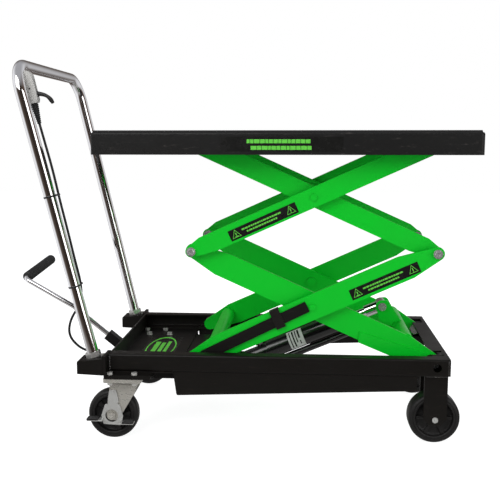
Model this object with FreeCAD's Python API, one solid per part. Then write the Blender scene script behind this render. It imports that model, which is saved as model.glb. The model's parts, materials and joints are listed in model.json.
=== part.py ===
import FreeCAD, Part
import math
import os
from FreeCAD import Vector

# Double scissor lift table cart: a wheeled channel-section base, two scissor stages, a flat table,
# a tubular push handle, a foot pump with its ram, and a hand release with its cable.
# Millimetres. +X runs from the push handle to the fixed wheels, +Z is up, the sides mirror at Y = 0.
# Sizes are written with X = 0 at the table's handle-side edge; the last step centres the object.

# ---- table and stance -------------------------------------------------------------------------
TABLE_LENGTH = 910.0
TABLE_WIDTH = 500.0
TABLE_SKIRT = 52.0
TABLE_SHEET = 2.5
MAT_THICKNESS = 4.5
MAT_INSET = 4.0
TABLE_CORNER = 9.0
WHEEL_DIAMETER = 125.0
SCISSOR_ANGLE = 24.27
LOWEST_ANGLE = 6.3
HIGHEST_ANGLE = 56.0

# ---- base frame -------------------------------------------------------------------------------
RAIL_START = 32.5
RAIL_END = 848.5
RAIL_BOTTOM = 174.0
RAIL_HEIGHT = 42.0
RAIL_FLANGE = 32.5
RAIL_WALL = 4.0
BASE_WIDTH = 477.0
END_PLATE = 4.5
FLOOR_END = 192.0
FLOOR_LIP = 20.0
SKIRT_START = 186.0
SKIRT_END = 775.0
SKIRT_DEPTH_START = 60.0
SKIRT_DEPTH_END = 37.0
PAD_LENGTH = 115.0
PAD_THICKNESS = 10.0
PAD_WIDTH = 154.0

# ---- scissor arms -----------------------------------------------------------------------------
ARM_LENGTH = 652.0
ARM_SHEET = 8.0
LOWER_ARM_WIDTH = 62.0
UPPER_ARM_WIDTH = 47.0
ARM_INSET = 49.0
ARM_SPACING = 20.0
BASE_PIVOT_X = 822.0
PIN_RADIUS = 8.0
BASE_PIN_RADIUS = 9.0
ROLLER_WIDTH = 24.0
LOWER_TUBE_RADIUS = 19.0
UPPER_TUBE_RADIUS = 14.0
DOUBLER_SHEET = 4.0

# ---- clearances -------------------------------------------------------------------------------
RUN_CLEAR = 0.08
OPEN_PIVOT_CLEAR = 0.3
SIDE_CLEAR = 0.3
ROLLER_CLEAR = 0.3

# ---- hydraulics -------------------------------------------------------------------------------
RAM_PIN_ALONG = 144.0
RAM_PIN_RISE = 47.0
RAM_BASE_X = 330.0
RAM_BASE_Z = 135.0
BARREL_RADIUS = 25.0
BARREL_BORE = 20.0
BARREL_START = 88.0
BARREL_END = 315.0
RAM_ROD_RADIUS = 11.0
RAM_ROD_LENGTH = 222.0
RAM_SLOT_X = 11.4
RAM_SLOT_Z = -12.2
EAR_SHEET = 6.0
EAR_GAP = 34.0

# ---- push handle and release ------------------------------------------------------------------
HANDLE_TUBE_RADIUS = 14.0
HANDLE_TUBE_WALL = 1.8
HANDLE_FOOT_OUT = 1.0
HANDLE_TOP_OUT = 19.5
HANDLE_FOOT_X = -7.5
HANDLE_FOOT_Z = 212.0
HANDLE_TOP_X = -172.5
HANDLE_TOP_Z = 909.0
HANDLE_BEND = 66.0
CABLE_RADIUS = 3.0

# ---- foot pedal and pump ----------------------------------------------------------------------
PEDAL_PIVOT_X = 48.0
PEDAL_PIVOT_Z = 140.0
PEDAL_ROD_RADIUS = 6.5
PEDAL_GRIP_RADIUS = 14.0
PEDAL_CRANK = 25.0
PUMP_START = 95.0
PUMP_LENGTH = 75.0
PUMP_WIDTH = 76.0
PUMP_DEPTH = 60.0

# ---- wheels and casters -----------------------------------------------------------------------
CASTER_X = 65.5
CASTER_TRAIL = 30.5
CASTER_INSET = 20.5
CASTER_WHEEL_WIDTH = 36.0
CASTER_PLATE = 9.0
FRONT_WHEEL_INSET = 48.5
FRONT_FORK_REACH = 35.0
FRONT_WHEEL_WIDTH = 38.0
FRONT_FORK_LENGTH = 56.0
FORK_SHEET = 5.0

WHEEL_RADIUS = WHEEL_DIAMETER / 2
HALF_WIDTH = BASE_WIDTH / 2
CASTER_Y = HALF_WIDTH - CASTER_INSET
FRONT_WHEEL_Y = HALF_WIDTH - FRONT_WHEEL_INSET
HANDLE_Y = HALF_WIDTH + HANDLE_FOOT_OUT
HANDLE_TOP_Y = HALF_WIDTH + HANDLE_TOP_OUT
OUTER_ARM_FACE = HALF_WIDTH - ARM_INSET
INNER_ARM_FACE = OUTER_ARM_FACE - ARM_SPACING
RAIL_TOP = RAIL_BOTTOM + RAIL_HEIGHT
PIVOT_Z = RAIL_BOTTOM + RAIL_HEIGHT / 2
FLANGE_EDGE = HALF_WIDTH - RAIL_FLANGE
ROLLER_RADIUS = RAIL_HEIGHT / 2 - RAIL_WALL - ROLLER_CLEAR
ROLLER_OUTER = HALF_WIDTH - RAIL_WALL - 2.5
ROLLER_INNER = ROLLER_OUTER - ROLLER_WIDTH
OUTER_ARM_BACK = OUTER_ARM_FACE - ARM_SHEET
INNER_ARM_BACK = INNER_ARM_FACE - ARM_SHEET
ANGLE = math.radians(SCISSOR_ANGLE)
STAGE_RUN = ARM_LENGTH * math.cos(ANGLE)
STAGE_RISE = ARM_LENGTH * math.sin(ANGLE)
ROLLER_X = BASE_PIVOT_X - STAGE_RUN
MID_Z = PIVOT_Z + STAGE_RISE
TOP_PIVOT_Z = PIVOT_Z + 2 * STAGE_RISE
CENTRE_X = BASE_PIVOT_X - STAGE_RUN / 2
DECK_UNDER = TOP_PIVOT_Z + ROLLER_RADIUS + ROLLER_CLEAR + 0.5
DECK_TOP = DECK_UNDER + TABLE_SHEET
SKIRT_EDGE = DECK_TOP - TABLE_SKIRT
FLOOR_TOP = RAIL_BOTTOM
FLOOR_UNDER = FLOOR_TOP - RAIL_WALL
PAD_UNDER = FLOOR_UNDER - PAD_THICKNESS

nodes = {}


# ---- shape helpers ----------------------------------------------------------------------------
def box(x0, x1, y0, y1, z0, z1):
    """A box between two opposite corners."""
    return Part.makeBox(x1 - x0, y1 - y0, z1 - z0, Vector(x0, y0, z0))


def rod(start, end, radius):
    """A round bar from one point to another."""
    line = end - start
    return Part.makeCylinder(radius, line.Length, start, line)


def rod_y(x, z, radius, y0, y1):
    """A round bar across the object."""
    return rod(Vector(x, y0, z), Vector(x, y1, z), radius)


def rod_z(x, y, radius, z0, z1):
    """An upright round bar."""
    return rod(Vector(x, y, z0), Vector(x, y, z1), radius)


def hexagon(start, end, across_flats):
    """A hexagonal bar from one point to another, such as a nut or a bolt head."""
    line = end - start
    side = line.cross(Vector(1, 0, 0)).normalize()
    third = line.cross(side).normalize()
    reach = across_flats / math.sqrt(3)
    corners = []
    for step in range(6):
        turn = math.radians(60 * step)
        corners.append(start + side * (reach * math.cos(turn)) + third * (reach * math.sin(turn)))
    return Part.Face(Part.makePolygon(corners + corners[:1])).extrude(line)


def rounded_face(points, radii):
    """A flat face whose corner at each point is rounded to the radius given for it."""
    edges = []
    last = None
    first = None
    count = len(points)
    for index in range(count):
        corner = points[index]
        radius = radii[index]
        back = (points[index - 1] - corner).normalize()
        ahead = (points[(index + 1) % count] - corner).normalize()
        enter = corner
        leave = corner
        if radius > 0:
            half = back.getAngle(ahead) / 2
            reach = radius / math.tan(half)
            enter = corner + back * reach
            leave = corner + ahead * reach
            middle = (back + ahead).normalize()
            crown = corner + middle * (radius / math.sin(half) - radius)
        if last is not None and (enter - last).Length > 1e-6:
            edges.append(Part.makeLine(last, enter))
        if radius > 0:
            edges.append(Part.Arc(enter, crown, leave).toShape())
        if first is None:
            first = enter
        last = leave
    if (first - last).Length > 1e-6:
        edges.append(Part.makeLine(last, first))
    return Part.Face(Part.Wire(edges))


def plate_xz(points, y0, y1, radii=None):
    """An upright plate along the object: (x, z) corners, extruded from y0 to y1."""
    corners = [Vector(x, y0, z) for x, z in points]
    return rounded_face(corners, radii or [0] * len(corners)).extrude(Vector(0, y1 - y0, 0))


def plate_yz(points, x0, x1, radii=None):
    """A section across the object: (y, z) corners, extruded from x0 to x1."""
    corners = [Vector(x0, y, z) for y, z in points]
    return rounded_face(corners, radii or [0] * len(corners)).extrude(Vector(x1 - x0, 0, 0))


def plate_xy(points, z0, z1, radii=None):
    """A level plate: (x, y) corners, extruded from z0 to z1."""
    corners = [Vector(x, y, z0) for x, y in points]
    return rounded_face(corners, radii or [0] * len(corners)).extrude(Vector(0, 0, z1 - z0))


def mirrored(shape):
    """The same piece on the object's other side."""
    return shape.mirror(Vector(0, 0, 0), Vector(0, 1, 0))


def both_sides(shape):
    """A piece and its mirror twin as separate solids in one node."""
    return Part.makeCompound(list(shape.Solids) + list(mirrored(shape).Solids))


def group(*shapes):
    """Separate solids that share one node."""
    solids = []
    for shape in shapes:
        solids.extend(shape.Solids)
    return Part.makeCompound(solids)


def fused(first, *others):
    """Pieces welded into one solid."""
    return first.multiFuse(list(others)).removeSplitter()


def bent_path(points, radii):
    """Straight runs joined by tangent arcs, one radius for each inner point."""
    edges = []
    last = points[0]
    for index, radius in enumerate(radii):
        corner = points[index + 1]
        back = (last - corner).normalize()
        ahead = (points[index + 2] - corner).normalize()
        half = back.getAngle(ahead) / 2
        reach = radius / math.tan(half)
        enter = corner + back * reach
        leave = corner + ahead * reach
        crown = corner + (back + ahead).normalize() * (radius / math.sin(half) - radius)
        if (enter - last).Length > 1e-6:
            edges.append(Part.makeLine(last, enter))
        edges.append(Part.Arc(enter, crown, leave).toShape())
        last = leave
    edges.append(Part.makeLine(last, points[-1]))
    return Part.Wire(edges)


def swept(path, radius, start, direction):
    """A round bar along a path."""
    ring = Part.Wire(Part.makeCircle(radius, start, direction))
    return path.makePipeShell([ring], True, False)


def tangent_point(radius, along, rise):
    """Where a line from (along, rise) touches a circle at the origin, on the far side from +along."""
    distance = math.hypot(along, rise)
    turn = math.acos(radius / distance)
    heading = math.atan2(rise, along) + math.copysign(turn, rise)
    return radius * math.cos(heading), radius * math.sin(heading)


# ---- scissor arms -----------------------------------------------------------------------------
class Arm:
    """A tapered arm lying between its lower and upper pivot, rising towards +X or towards -X."""

    def __init__(self, foot_x, foot_z, towards):
        self.foot = (foot_x, foot_z)
        self.ahead = (towards * math.cos(ANGLE), math.sin(ANGLE))
        self.up = (-towards * math.sin(ANGLE), math.cos(ANGLE))

    def at(self, along, rise):
        """The (x, z) place this far along the arm and this far above its centre line."""
        x = self.foot[0] + along * self.ahead[0] + rise * self.up[0]
        z = self.foot[1] + along * self.ahead[1] + rise * self.up[1]
        return x, z

    def point(self, along, rise, y):
        x, z = self.at(along, rise)
        return Vector(x, y, z)

    def outline(self, width, end_radius, steep, gentle, y):
        """Round ends, a steep taper on one edge of each end and a gentle one on the other."""
        half = width / 2
        top = tangent_point(end_radius, steep, half)
        low = tangent_point(end_radius, gentle, -half)
        length = ARM_LENGTH
        places = [
            top, (steep, half), (length - gentle, half), (length - low[0], -low[1]),
            (length - top[0], -top[1]), (length - steep, -half), (gentle, -half), low,
        ]
        corners = [self.point(along, rise, y) for along, rise in places]
        edges = [Part.makeLine(corners[i], corners[i + 1]) for i in range(3)]
        far_end = self.point(length + end_radius, 0, y)
        edges.append(Part.Arc(corners[3], far_end, corners[4]).toShape())
        edges.extend(Part.makeLine(corners[i], corners[i + 1]) for i in range(4, 7))
        near_end = self.point(-end_radius, 0, y)
        edges.append(Part.Arc(corners[7], near_end, corners[0]).toShape())
        return Part.Face(Part.Wire(edges))

    def plate(self, width, end_radius, steep, gentle, inner, outer, bores):
        """The flat arm, with (along, radius) bores through it."""
        solid = self.outline(width, end_radius, steep, gentle, inner).extrude(Vector(0, outer - inner, 0))
        for along, radius in bores:
            solid = solid.cut(self.across(along, 0, radius, inner - 1, outer + 1))
        return solid

    def across(self, along, rise, radius, y0, y1):
        """A round bar across the object at a place on the arm."""
        x, z = self.at(along, rise)
        return rod_y(x, z, radius, y0, y1)


lower_inner = Arm(BASE_PIVOT_X, PIVOT_Z, -1)
lower_outer = Arm(ROLLER_X, PIVOT_Z, 1)
upper_inner = Arm(BASE_PIVOT_X, MID_Z, -1)
upper_outer = Arm(ROLLER_X, MID_Z, 1)

LOWER_END_RADIUS = 16.5
UPPER_END_RADIUS = 14.5
LOWER_STEEP = 73.0
LOWER_GENTLE = 90.0
UPPER_STEEP = 30.0
UPPER_GENTLE = 62.0
PIN_BORE = PIN_RADIUS + RUN_CLEAR
OPEN_BORE = PIN_RADIUS + OPEN_PIVOT_CLEAR
BASE_BORE = BASE_PIN_RADIUS + RUN_CLEAR
HALF_ARM = ARM_LENGTH / 2


def arm_pair(arm, width, end_radius, steep, gentle, face, bores):
    """The two flat plates of one frame."""
    plate = arm.plate(width, end_radius, steep, gentle, face - ARM_SHEET, face, bores)
    return plate, mirrored(plate)


def stub_axles(arm, along, face):
    """Axles welded to the outer faces of a frame, for its rollers."""
    axle = arm.across(along, 0, PIN_RADIUS, face - ARM_SHEET / 2, ROLLER_OUTER)
    collar = arm.across(along, 0, PIN_RADIUS + 4, face, ROLLER_INNER - SIDE_CLEAR)
    stub = fused(axle, collar)
    return stub, mirrored(stub)


# lower inner frame: hinged to the base, with the ram's ears on a cross tube
RIGHT_TUBE_ALONG = 80.0
RIGHT_TUBE_RISE = 15.0
DOUBLER_START = 194.0
plates = arm_pair(lower_inner, LOWER_ARM_WIDTH, LOWER_END_RADIUS, LOWER_STEEP, LOWER_GENTLE, INNER_ARM_FACE, [])
tube = lower_inner.across(RIGHT_TUBE_ALONG, RIGHT_TUBE_RISE, LOWER_TUBE_RADIUS, -INNER_ARM_BACK, INNER_ARM_BACK)
doubler_places = [
    (DOUBLER_START, -10), (DOUBLER_START - 8, -36), (LOWER_GENTLE, -33), (10, -LOWER_END_RADIUS),
    (-9, -10), (-9, 8), (29, 10),
]
doubler = plate_xz(
    [lower_inner.at(along, rise) for along, rise in doubler_places],
    INNER_ARM_FACE, INNER_ARM_FACE + DOUBLER_SHEET, [1, 2, 6, 6, 7, 7, 4])
ear_places = [
    (RAM_PIN_ALONG + 24, RAM_PIN_RISE + 5), (RAM_PIN_ALONG - 7, RAM_PIN_RISE + 23),
    (RIGHT_TUBE_ALONG + 22, RIGHT_TUBE_RISE + 29), (RIGHT_TUBE_ALONG, RIGHT_TUBE_RISE + 18),
    (RIGHT_TUBE_ALONG + 8, RIGHT_TUBE_RISE - 6), (RAM_PIN_ALONG - 7, RAM_PIN_RISE - 34),
]
ear = plate_xz(
    [lower_inner.at(along, rise) for along, rise in ear_places],
    EAR_GAP / 2 + SIDE_CLEAR, EAR_GAP / 2 + SIDE_CLEAR + EAR_SHEET, [14, 12, 8, 0, 0, 3])
lower_inner_frame = fused(plates[0], plates[1], tube, doubler, mirrored(doubler), ear, mirrored(ear))
for along, radius in ((0, BASE_BORE), (HALF_ARM, PIN_RADIUS), (ARM_LENGTH, PIN_RADIUS)):
    lower_inner_frame = lower_inner_frame.cut(lower_inner.across(along, 0, radius, -TABLE_WIDTH, TABLE_WIDTH))
lower_inner_frame = lower_inner_frame.cut(
    lower_inner.across(RAM_PIN_ALONG, RAM_PIN_RISE, PIN_RADIUS, -TABLE_WIDTH, TABLE_WIDTH))
nodes["lower_inner_frame"] = lower_inner_frame

# lower outer frame: rolls in the base rails and carries the service prop
LEFT_TUBE_ALONG = 63.0
LEFT_TUBE_RISE = 6.0
PROP_SHEET = 5.0
PROP_PIVOT_ALONG = 34.0
PROP_PIVOT_RISE = -4.0
PROP_PIN_RADIUS = 5.0
plates = arm_pair(
    lower_outer, LOWER_ARM_WIDTH, LOWER_END_RADIUS, LOWER_STEEP, LOWER_GENTLE, OUTER_ARM_FACE,
    [(HALF_ARM, PIN_BORE), (ARM_LENGTH, PIN_RADIUS)])
tube = lower_outer.across(LEFT_TUBE_ALONG, LEFT_TUBE_RISE, LOWER_TUBE_RADIUS, -OUTER_ARM_BACK, OUTER_ARM_BACK)
nodes["lower_outer_frame"] = fused(plates[0], plates[1], tube, *stub_axles(lower_outer, 0, OUTER_ARM_FACE))

# upper inner frame: hinged at the middle, rolls under the table
UPPER_TUBE_FROM_END = 36.0
plates = arm_pair(
    upper_inner, UPPER_ARM_WIDTH, UPPER_END_RADIUS, UPPER_STEEP, UPPER_GENTLE, INNER_ARM_FACE,
    [(0, PIN_BORE), (HALF_ARM, PIN_RADIUS)])
tube = upper_inner.across(
    ARM_LENGTH - UPPER_TUBE_FROM_END, 0, UPPER_TUBE_RADIUS, -INNER_ARM_BACK, INNER_ARM_BACK)
nodes["upper_inner_frame"] = fused(
    plates[0], plates[1], tube, *stub_axles(upper_inner, ARM_LENGTH, INNER_ARM_FACE))

# upper outer frame: hinged to the table
plates = arm_pair(
    upper_outer, UPPER_ARM_WIDTH, UPPER_END_RADIUS, UPPER_STEEP, UPPER_GENTLE, OUTER_ARM_FACE,
    [(0, OPEN_BORE), (HALF_ARM, PIN_BORE), (ARM_LENGTH, PIN_BORE)])
tube = upper_outer.across(
    ARM_LENGTH - UPPER_TUBE_FROM_END, 0, UPPER_TUBE_RADIUS, -OUTER_ARM_BACK, OUTER_ARM_BACK)
nodes["upper_outer_frame"] = fused(plates[0], plates[1], tube)

# ---- scissor pins -----------------------------------------------------------------------------
HEAD_LENGTH = 6.0
PIN_HEAD_RADIUS = 10.5
COLLAR_RADIUS = 15.0


def scissor_pin(arm, along, outer_length, head_radius):
    """A pin through an inner and an outer arm, with a collar between them and a head at each end."""
    inner_head = arm.across(
        along, 0, COLLAR_RADIUS - 2, INNER_ARM_BACK - SIDE_CLEAR - HEAD_LENGTH, INNER_ARM_BACK - SIDE_CLEAR)
    shank = arm.across(along, 0, PIN_RADIUS, INNER_ARM_BACK - SIDE_CLEAR, OUTER_ARM_FACE + SIDE_CLEAR)
    collar = arm.across(along, 0, COLLAR_RADIUS, INNER_ARM_FACE + SIDE_CLEAR, OUTER_ARM_BACK - SIDE_CLEAR)
    outer_head = arm.across(
        along, 0, head_radius, OUTER_ARM_FACE + SIDE_CLEAR, OUTER_ARM_FACE + SIDE_CLEAR + outer_length)
    return both_sides(fused(inner_head, shank, collar, outer_head))


nodes["lower_centre_pins"] = scissor_pin(lower_inner, HALF_ARM, 3.0, PIN_RADIUS)
nodes["upper_centre_pins"] = scissor_pin(upper_inner, HALF_ARM, 3.0, PIN_RADIUS)
nodes["mid_left_pins"] = scissor_pin(lower_inner, ARM_LENGTH, HEAD_LENGTH, PIN_HEAD_RADIUS)
nodes["mid_right_pins"] = scissor_pin(lower_outer, ARM_LENGTH, HEAD_LENGTH, PIN_HEAD_RADIUS)

LUG_INNER = OUTER_ARM_FACE + 2.5
LUG_SHEET = 8.0
top_pin = fused(
    upper_outer.across(ARM_LENGTH, 0, COLLAR_RADIUS - 2, OUTER_ARM_BACK - SIDE_CLEAR - HEAD_LENGTH,
                       OUTER_ARM_BACK - SIDE_CLEAR),
    upper_outer.across(ARM_LENGTH, 0, PIN_RADIUS, OUTER_ARM_BACK - SIDE_CLEAR, LUG_INNER + LUG_SHEET + SIDE_CLEAR),
    upper_outer.across(ARM_LENGTH, 0, PIN_HEAD_RADIUS, LUG_INNER + LUG_SHEET + SIDE_CLEAR,
                       LUG_INNER + LUG_SHEET + SIDE_CLEAR + HEAD_LENGTH))
nodes["table_pivot_pins"] = both_sides(top_pin)

# ---- scissor rollers --------------------------------------------------------------------------
roller_places = {"base_roller": (ROLLER_X, PIVOT_Z), "table_roller": (ROLLER_X, TOP_PIVOT_Z)}
for name, (x, z) in roller_places.items():
    wheel = rod_y(x, z, ROLLER_RADIUS, ROLLER_INNER, ROLLER_OUTER)
    wheel = wheel.makeChamfer(1.5, [edge for edge in wheel.Edges if len(edge.Vertexes) == 1])
    wheel = wheel.cut(rod_y(x, z, PIN_BORE, ROLLER_INNER - 1, ROLLER_OUTER + 1))
    nodes[name + "_left"] = wheel
    nodes[name + "_right"] = mirrored(wheel)

# ---- base frame -------------------------------------------------------------------------------
RAIL_BEND = 5.0
rail_section = [
    (HALF_WIDTH, RAIL_BOTTOM), (HALF_WIDTH, RAIL_TOP), (FLANGE_EDGE, RAIL_TOP),
    (FLANGE_EDGE, RAIL_TOP - RAIL_WALL), (HALF_WIDTH - RAIL_WALL, RAIL_TOP - RAIL_WALL),
    (HALF_WIDTH - RAIL_WALL, RAIL_BOTTOM + RAIL_WALL), (FLANGE_EDGE, RAIL_BOTTOM + RAIL_WALL),
    (FLANGE_EDGE, RAIL_BOTTOM),
]
rail = plate_yz(rail_section, RAIL_START, RAIL_END, [RAIL_BEND, RAIL_BEND, 0, 0, 1.5, 1.5, 0, 0])
ACCESS_HOLE_RADIUS = BASE_PIN_RADIUS + 1
rail = rail.cut(rod_y(BASE_PIVOT_X, PIVOT_Z, ACCESS_HOLE_RADIUS, FLANGE_EDGE, HALF_WIDTH + 1))
nodes["side_rail_left"] = rail
nodes["side_rail_right"] = mirrored(rail)

SKIRT_FACE = HALF_WIDTH - 2 * RAIL_WALL - SIDE_CLEAR
skirt_corners = [
    (SKIRT_START, RAIL_BOTTOM), (SKIRT_START + 8, RAIL_BOTTOM - SKIRT_DEPTH_START),
    (SKIRT_END, RAIL_BOTTOM - SKIRT_DEPTH_END), (SKIRT_END, RAIL_BOTTOM),
]
skirt = plate_xz(skirt_corners, SKIRT_FACE + SIDE_CLEAR, SKIRT_FACE + SIDE_CLEAR + RAIL_WALL, [0, 5, 5, 0])
nodes["skirt_plates"] = both_sides(skirt)

nodes["handle_end_plate"] = plate_yz(
    [(-HALF_WIDTH, RAIL_BOTTOM), (-HALF_WIDTH, RAIL_TOP), (HALF_WIDTH, RAIL_TOP), (HALF_WIDTH, RAIL_BOTTOM)],
    RAIL_START - END_PLATE, RAIL_START, [3, 3, 3, 3])

# front end channel: its top flange is slotted where the lower inner arms swing
front_plate = plate_yz(
    [(-HALF_WIDTH, RAIL_BOTTOM), (-HALF_WIDTH, RAIL_TOP), (HALF_WIDTH, RAIL_TOP), (HALF_WIDTH, RAIL_BOTTOM)],
    RAIL_END, RAIL_END + END_PLATE, [6, 6, 6, 6])
FRONT_FLANGE = 34.0
top_flange = box(RAIL_END - FRONT_FLANGE, RAIL_END, -FLANGE_EDGE, FLANGE_EDGE, RAIL_TOP - RAIL_WALL, RAIL_TOP)
low_flange = box(RAIL_END - 13, RAIL_END, -FLANGE_EDGE, FLANGE_EDGE, RAIL_BOTTOM, RAIL_BOTTOM + RAIL_WALL)
arm_slot = box(RAIL_END - FRONT_FLANGE - 1, RAIL_END - 5, INNER_ARM_BACK - 8, FLANGE_EDGE - 6,
               RAIL_TOP - RAIL_WALL - 1, RAIL_TOP + 1)
front_channel = fused(front_plate, top_flange, low_flange)
nodes["front_end_channel"] = front_channel.cut(arm_slot).cut(mirrored(arm_slot))

floor_plate = fused(
    box(RAIL_START, SKIRT_START - SIDE_CLEAR, -HALF_WIDTH, HALF_WIDTH, FLOOR_UNDER, FLOOR_TOP),
    box(RAIL_START, FLOOR_END, -SKIRT_FACE, SKIRT_FACE, FLOOR_UNDER, FLOOR_TOP))
LIP_START = 20 + PAD_LENGTH + SIDE_CLEAR
floor_lip = box(LIP_START, FLOOR_END - 4, HALF_WIDTH - 28, HALF_WIDTH - 24, FLOOR_UNDER - FLOOR_LIP, FLOOR_UNDER)
FLOOR_BOLT_X = (58.0, 117.0)
FLOOR_BOLT_Y = HALF_WIDTH - 110.5
FLOOR_BOLT_RADIUS = 4.0
floor_plate = fused(floor_plate, floor_lip, mirrored(floor_lip))
pad = plate_xy(
    [(20, HALF_WIDTH + 25), (20 + PAD_LENGTH, HALF_WIDTH + 25), (20 + PAD_LENGTH, HALF_WIDTH + 25 - PAD_WIDTH),
     (20, HALF_WIDTH + 25 - PAD_WIDTH)],
    PAD_UNDER, FLOOR_UNDER, [6, 6, 6, 6])
bolts = []
for x in FLOOR_BOLT_X:
    for y in (FLOOR_BOLT_Y, -FLOOR_BOLT_Y):
        hole = rod_z(x, y, FLOOR_BOLT_RADIUS + RUN_CLEAR, PAD_UNDER - 1, FLOOR_TOP + 1)
        floor_plate = floor_plate.cut(hole)
        pad = pad.cut(hole)
        head = hexagon(Vector(x, y, FLOOR_TOP + 1.5), Vector(x, y, FLOOR_TOP + 7), 13)
        washer = rod_z(x, y, 8.5, FLOOR_TOP, FLOOR_TOP + 1.5)
        shank = rod_z(x, y, FLOOR_BOLT_RADIUS, PAD_UNDER - 8, FLOOR_TOP + 1.5)
        nut = hexagon(Vector(x, y, PAD_UNDER - 6.5), Vector(x, y, PAD_UNDER), 13)
        bolts.append(fused(head, washer, shank, nut))
nodes["floor_plate"] = floor_plate

# ---- caster mounting --------------------------------------------------------------------------
PLATE_LENGTH = 93.0
PLATE_WIDTH = 96.0
PLATE_BOLT_X = 30.0
INNER_BOLT_SHIFT = 6.5
PLATE_BOLT_Y = 38.0
PLATE_TOP = PAD_UNDER
PLATE_UNDER = PLATE_TOP - CASTER_PLATE
caster_plate = plate_xy(
    [(CASTER_X - PLATE_LENGTH / 2, CASTER_Y - PLATE_WIDTH / 2), (CASTER_X - PLATE_LENGTH / 2, CASTER_Y + PLATE_WIDTH / 2),
     (CASTER_X + PLATE_LENGTH / 2, CASTER_Y + PLATE_WIDTH / 2), (CASTER_X + PLATE_LENGTH / 2, CASTER_Y - PLATE_WIDTH / 2)],
    PLATE_UNDER, PLATE_TOP, [8, 8, 8, 8])
SWIVEL_RADIUS = 24.0
RACE_DEPTH = 9.0
race = Part.makeCone(SWIVEL_RADIUS + 6, SWIVEL_RADIUS, RACE_DEPTH, Vector(CASTER_X, CASTER_Y, PLATE_UNDER), Vector(0, 0, -1))
KINGPIN_RADIUS = 6.0
kingpin = rod_z(CASTER_X, CASTER_Y, KINGPIN_RADIUS, PLATE_UNDER - RACE_DEPTH - 14, PLATE_UNDER)
kingpin_nut = rod_z(CASTER_X, CASTER_Y, 10, PLATE_UNDER - RACE_DEPTH - 14, PLATE_UNDER - RACE_DEPTH - 6.3)
caster_plate = fused(caster_plate, race, kingpin, kingpin_nut)
for side_x in (-1, 1):
    for side_y in (-1, 1):
        x = CASTER_X + side_x * PLATE_BOLT_X
        y = CASTER_Y + side_y * PLATE_BOLT_Y
        if side_x < 0 and side_y < 0:
            x += INNER_BOLT_SHIFT
        hole = rod_z(x, y, FLOOR_BOLT_RADIUS + RUN_CLEAR, PLATE_UNDER - 1, FLOOR_TOP + 1)
        caster_plate = caster_plate.cut(hole)
        pad = pad.cut(hole)
        under_rail = y < HALF_WIDTH
        seat = FLOOR_UNDER
        if under_rail:
            floor_hole = rod_z(x, y, FLOOR_BOLT_RADIUS + RUN_CLEAR, FLOOR_UNDER - 1, FLOOR_TOP + 1)
            floor_plate = floor_plate.cut(floor_hole).cut(mirrored(floor_hole))
            seat = FLOOR_TOP
        head = hexagon(Vector(x, y, seat), Vector(x, y, seat + 6), 13)
        shank = rod_z(x, y, FLOOR_BOLT_RADIUS, PLATE_UNDER - 8, seat)
        nut = hexagon(Vector(x, y, PLATE_UNDER - 6.5), Vector(x, y, PLATE_UNDER), 12)
        bolt = fused(head, shank, nut)
        bolts.extend([bolt, mirrored(bolt)])
nodes["floor_plate"] = floor_plate
nodes["caster_pads"] = both_sides(pad)
nodes["caster_top_plates"] = both_sides(caster_plate)
nodes["frame_bolts"] = group(*bolts)

# ---- swivel casters ---------------------------------------------------------------------------
AXLE_X = CASTER_X - CASTER_TRAIL
AXLE_RADIUS = 6.0
CASTER_HALF = CASTER_WHEEL_WIDTH / 2
CHEEK_GAP = CASTER_HALF + 3.5
CHEEK_SHEET = 3.0
CROWN_TOP = PLATE_UNDER - RACE_DEPTH - SIDE_CLEAR
CROWN_SHEET = 6.0


def wheel_solid(x, y, width, hub_width, bore):
    """A wheel with a rounded tread, a recessed web with ribs and a hub."""
    half = width / 2
    profile = [
        (bore, -hub_width / 2), (15, -hub_width / 2), (17, -half + 6), (WHEEL_RADIUS - 17, -half + 6),
        (WHEEL_RADIUS - 13, -half), (WHEEL_RADIUS - 5, -half), (WHEEL_RADIUS, -half + 5), (WHEEL_RADIUS, half - 5),
        (WHEEL_RADIUS - 5, half), (WHEEL_RADIUS - 13, half), (WHEEL_RADIUS - 17, half - 6), (17, half - 6),
        (15, hub_width / 2), (bore, hub_width / 2),
    ]
    corners = [Vector(x + radius, y + across, WHEEL_RADIUS) for radius, across in profile]
    face = Part.Face(Part.makePolygon(corners + corners[:1]))
    return face.revolve(Vector(x, y, WHEEL_RADIUS), Vector(0, 1, 0), 360)


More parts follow.
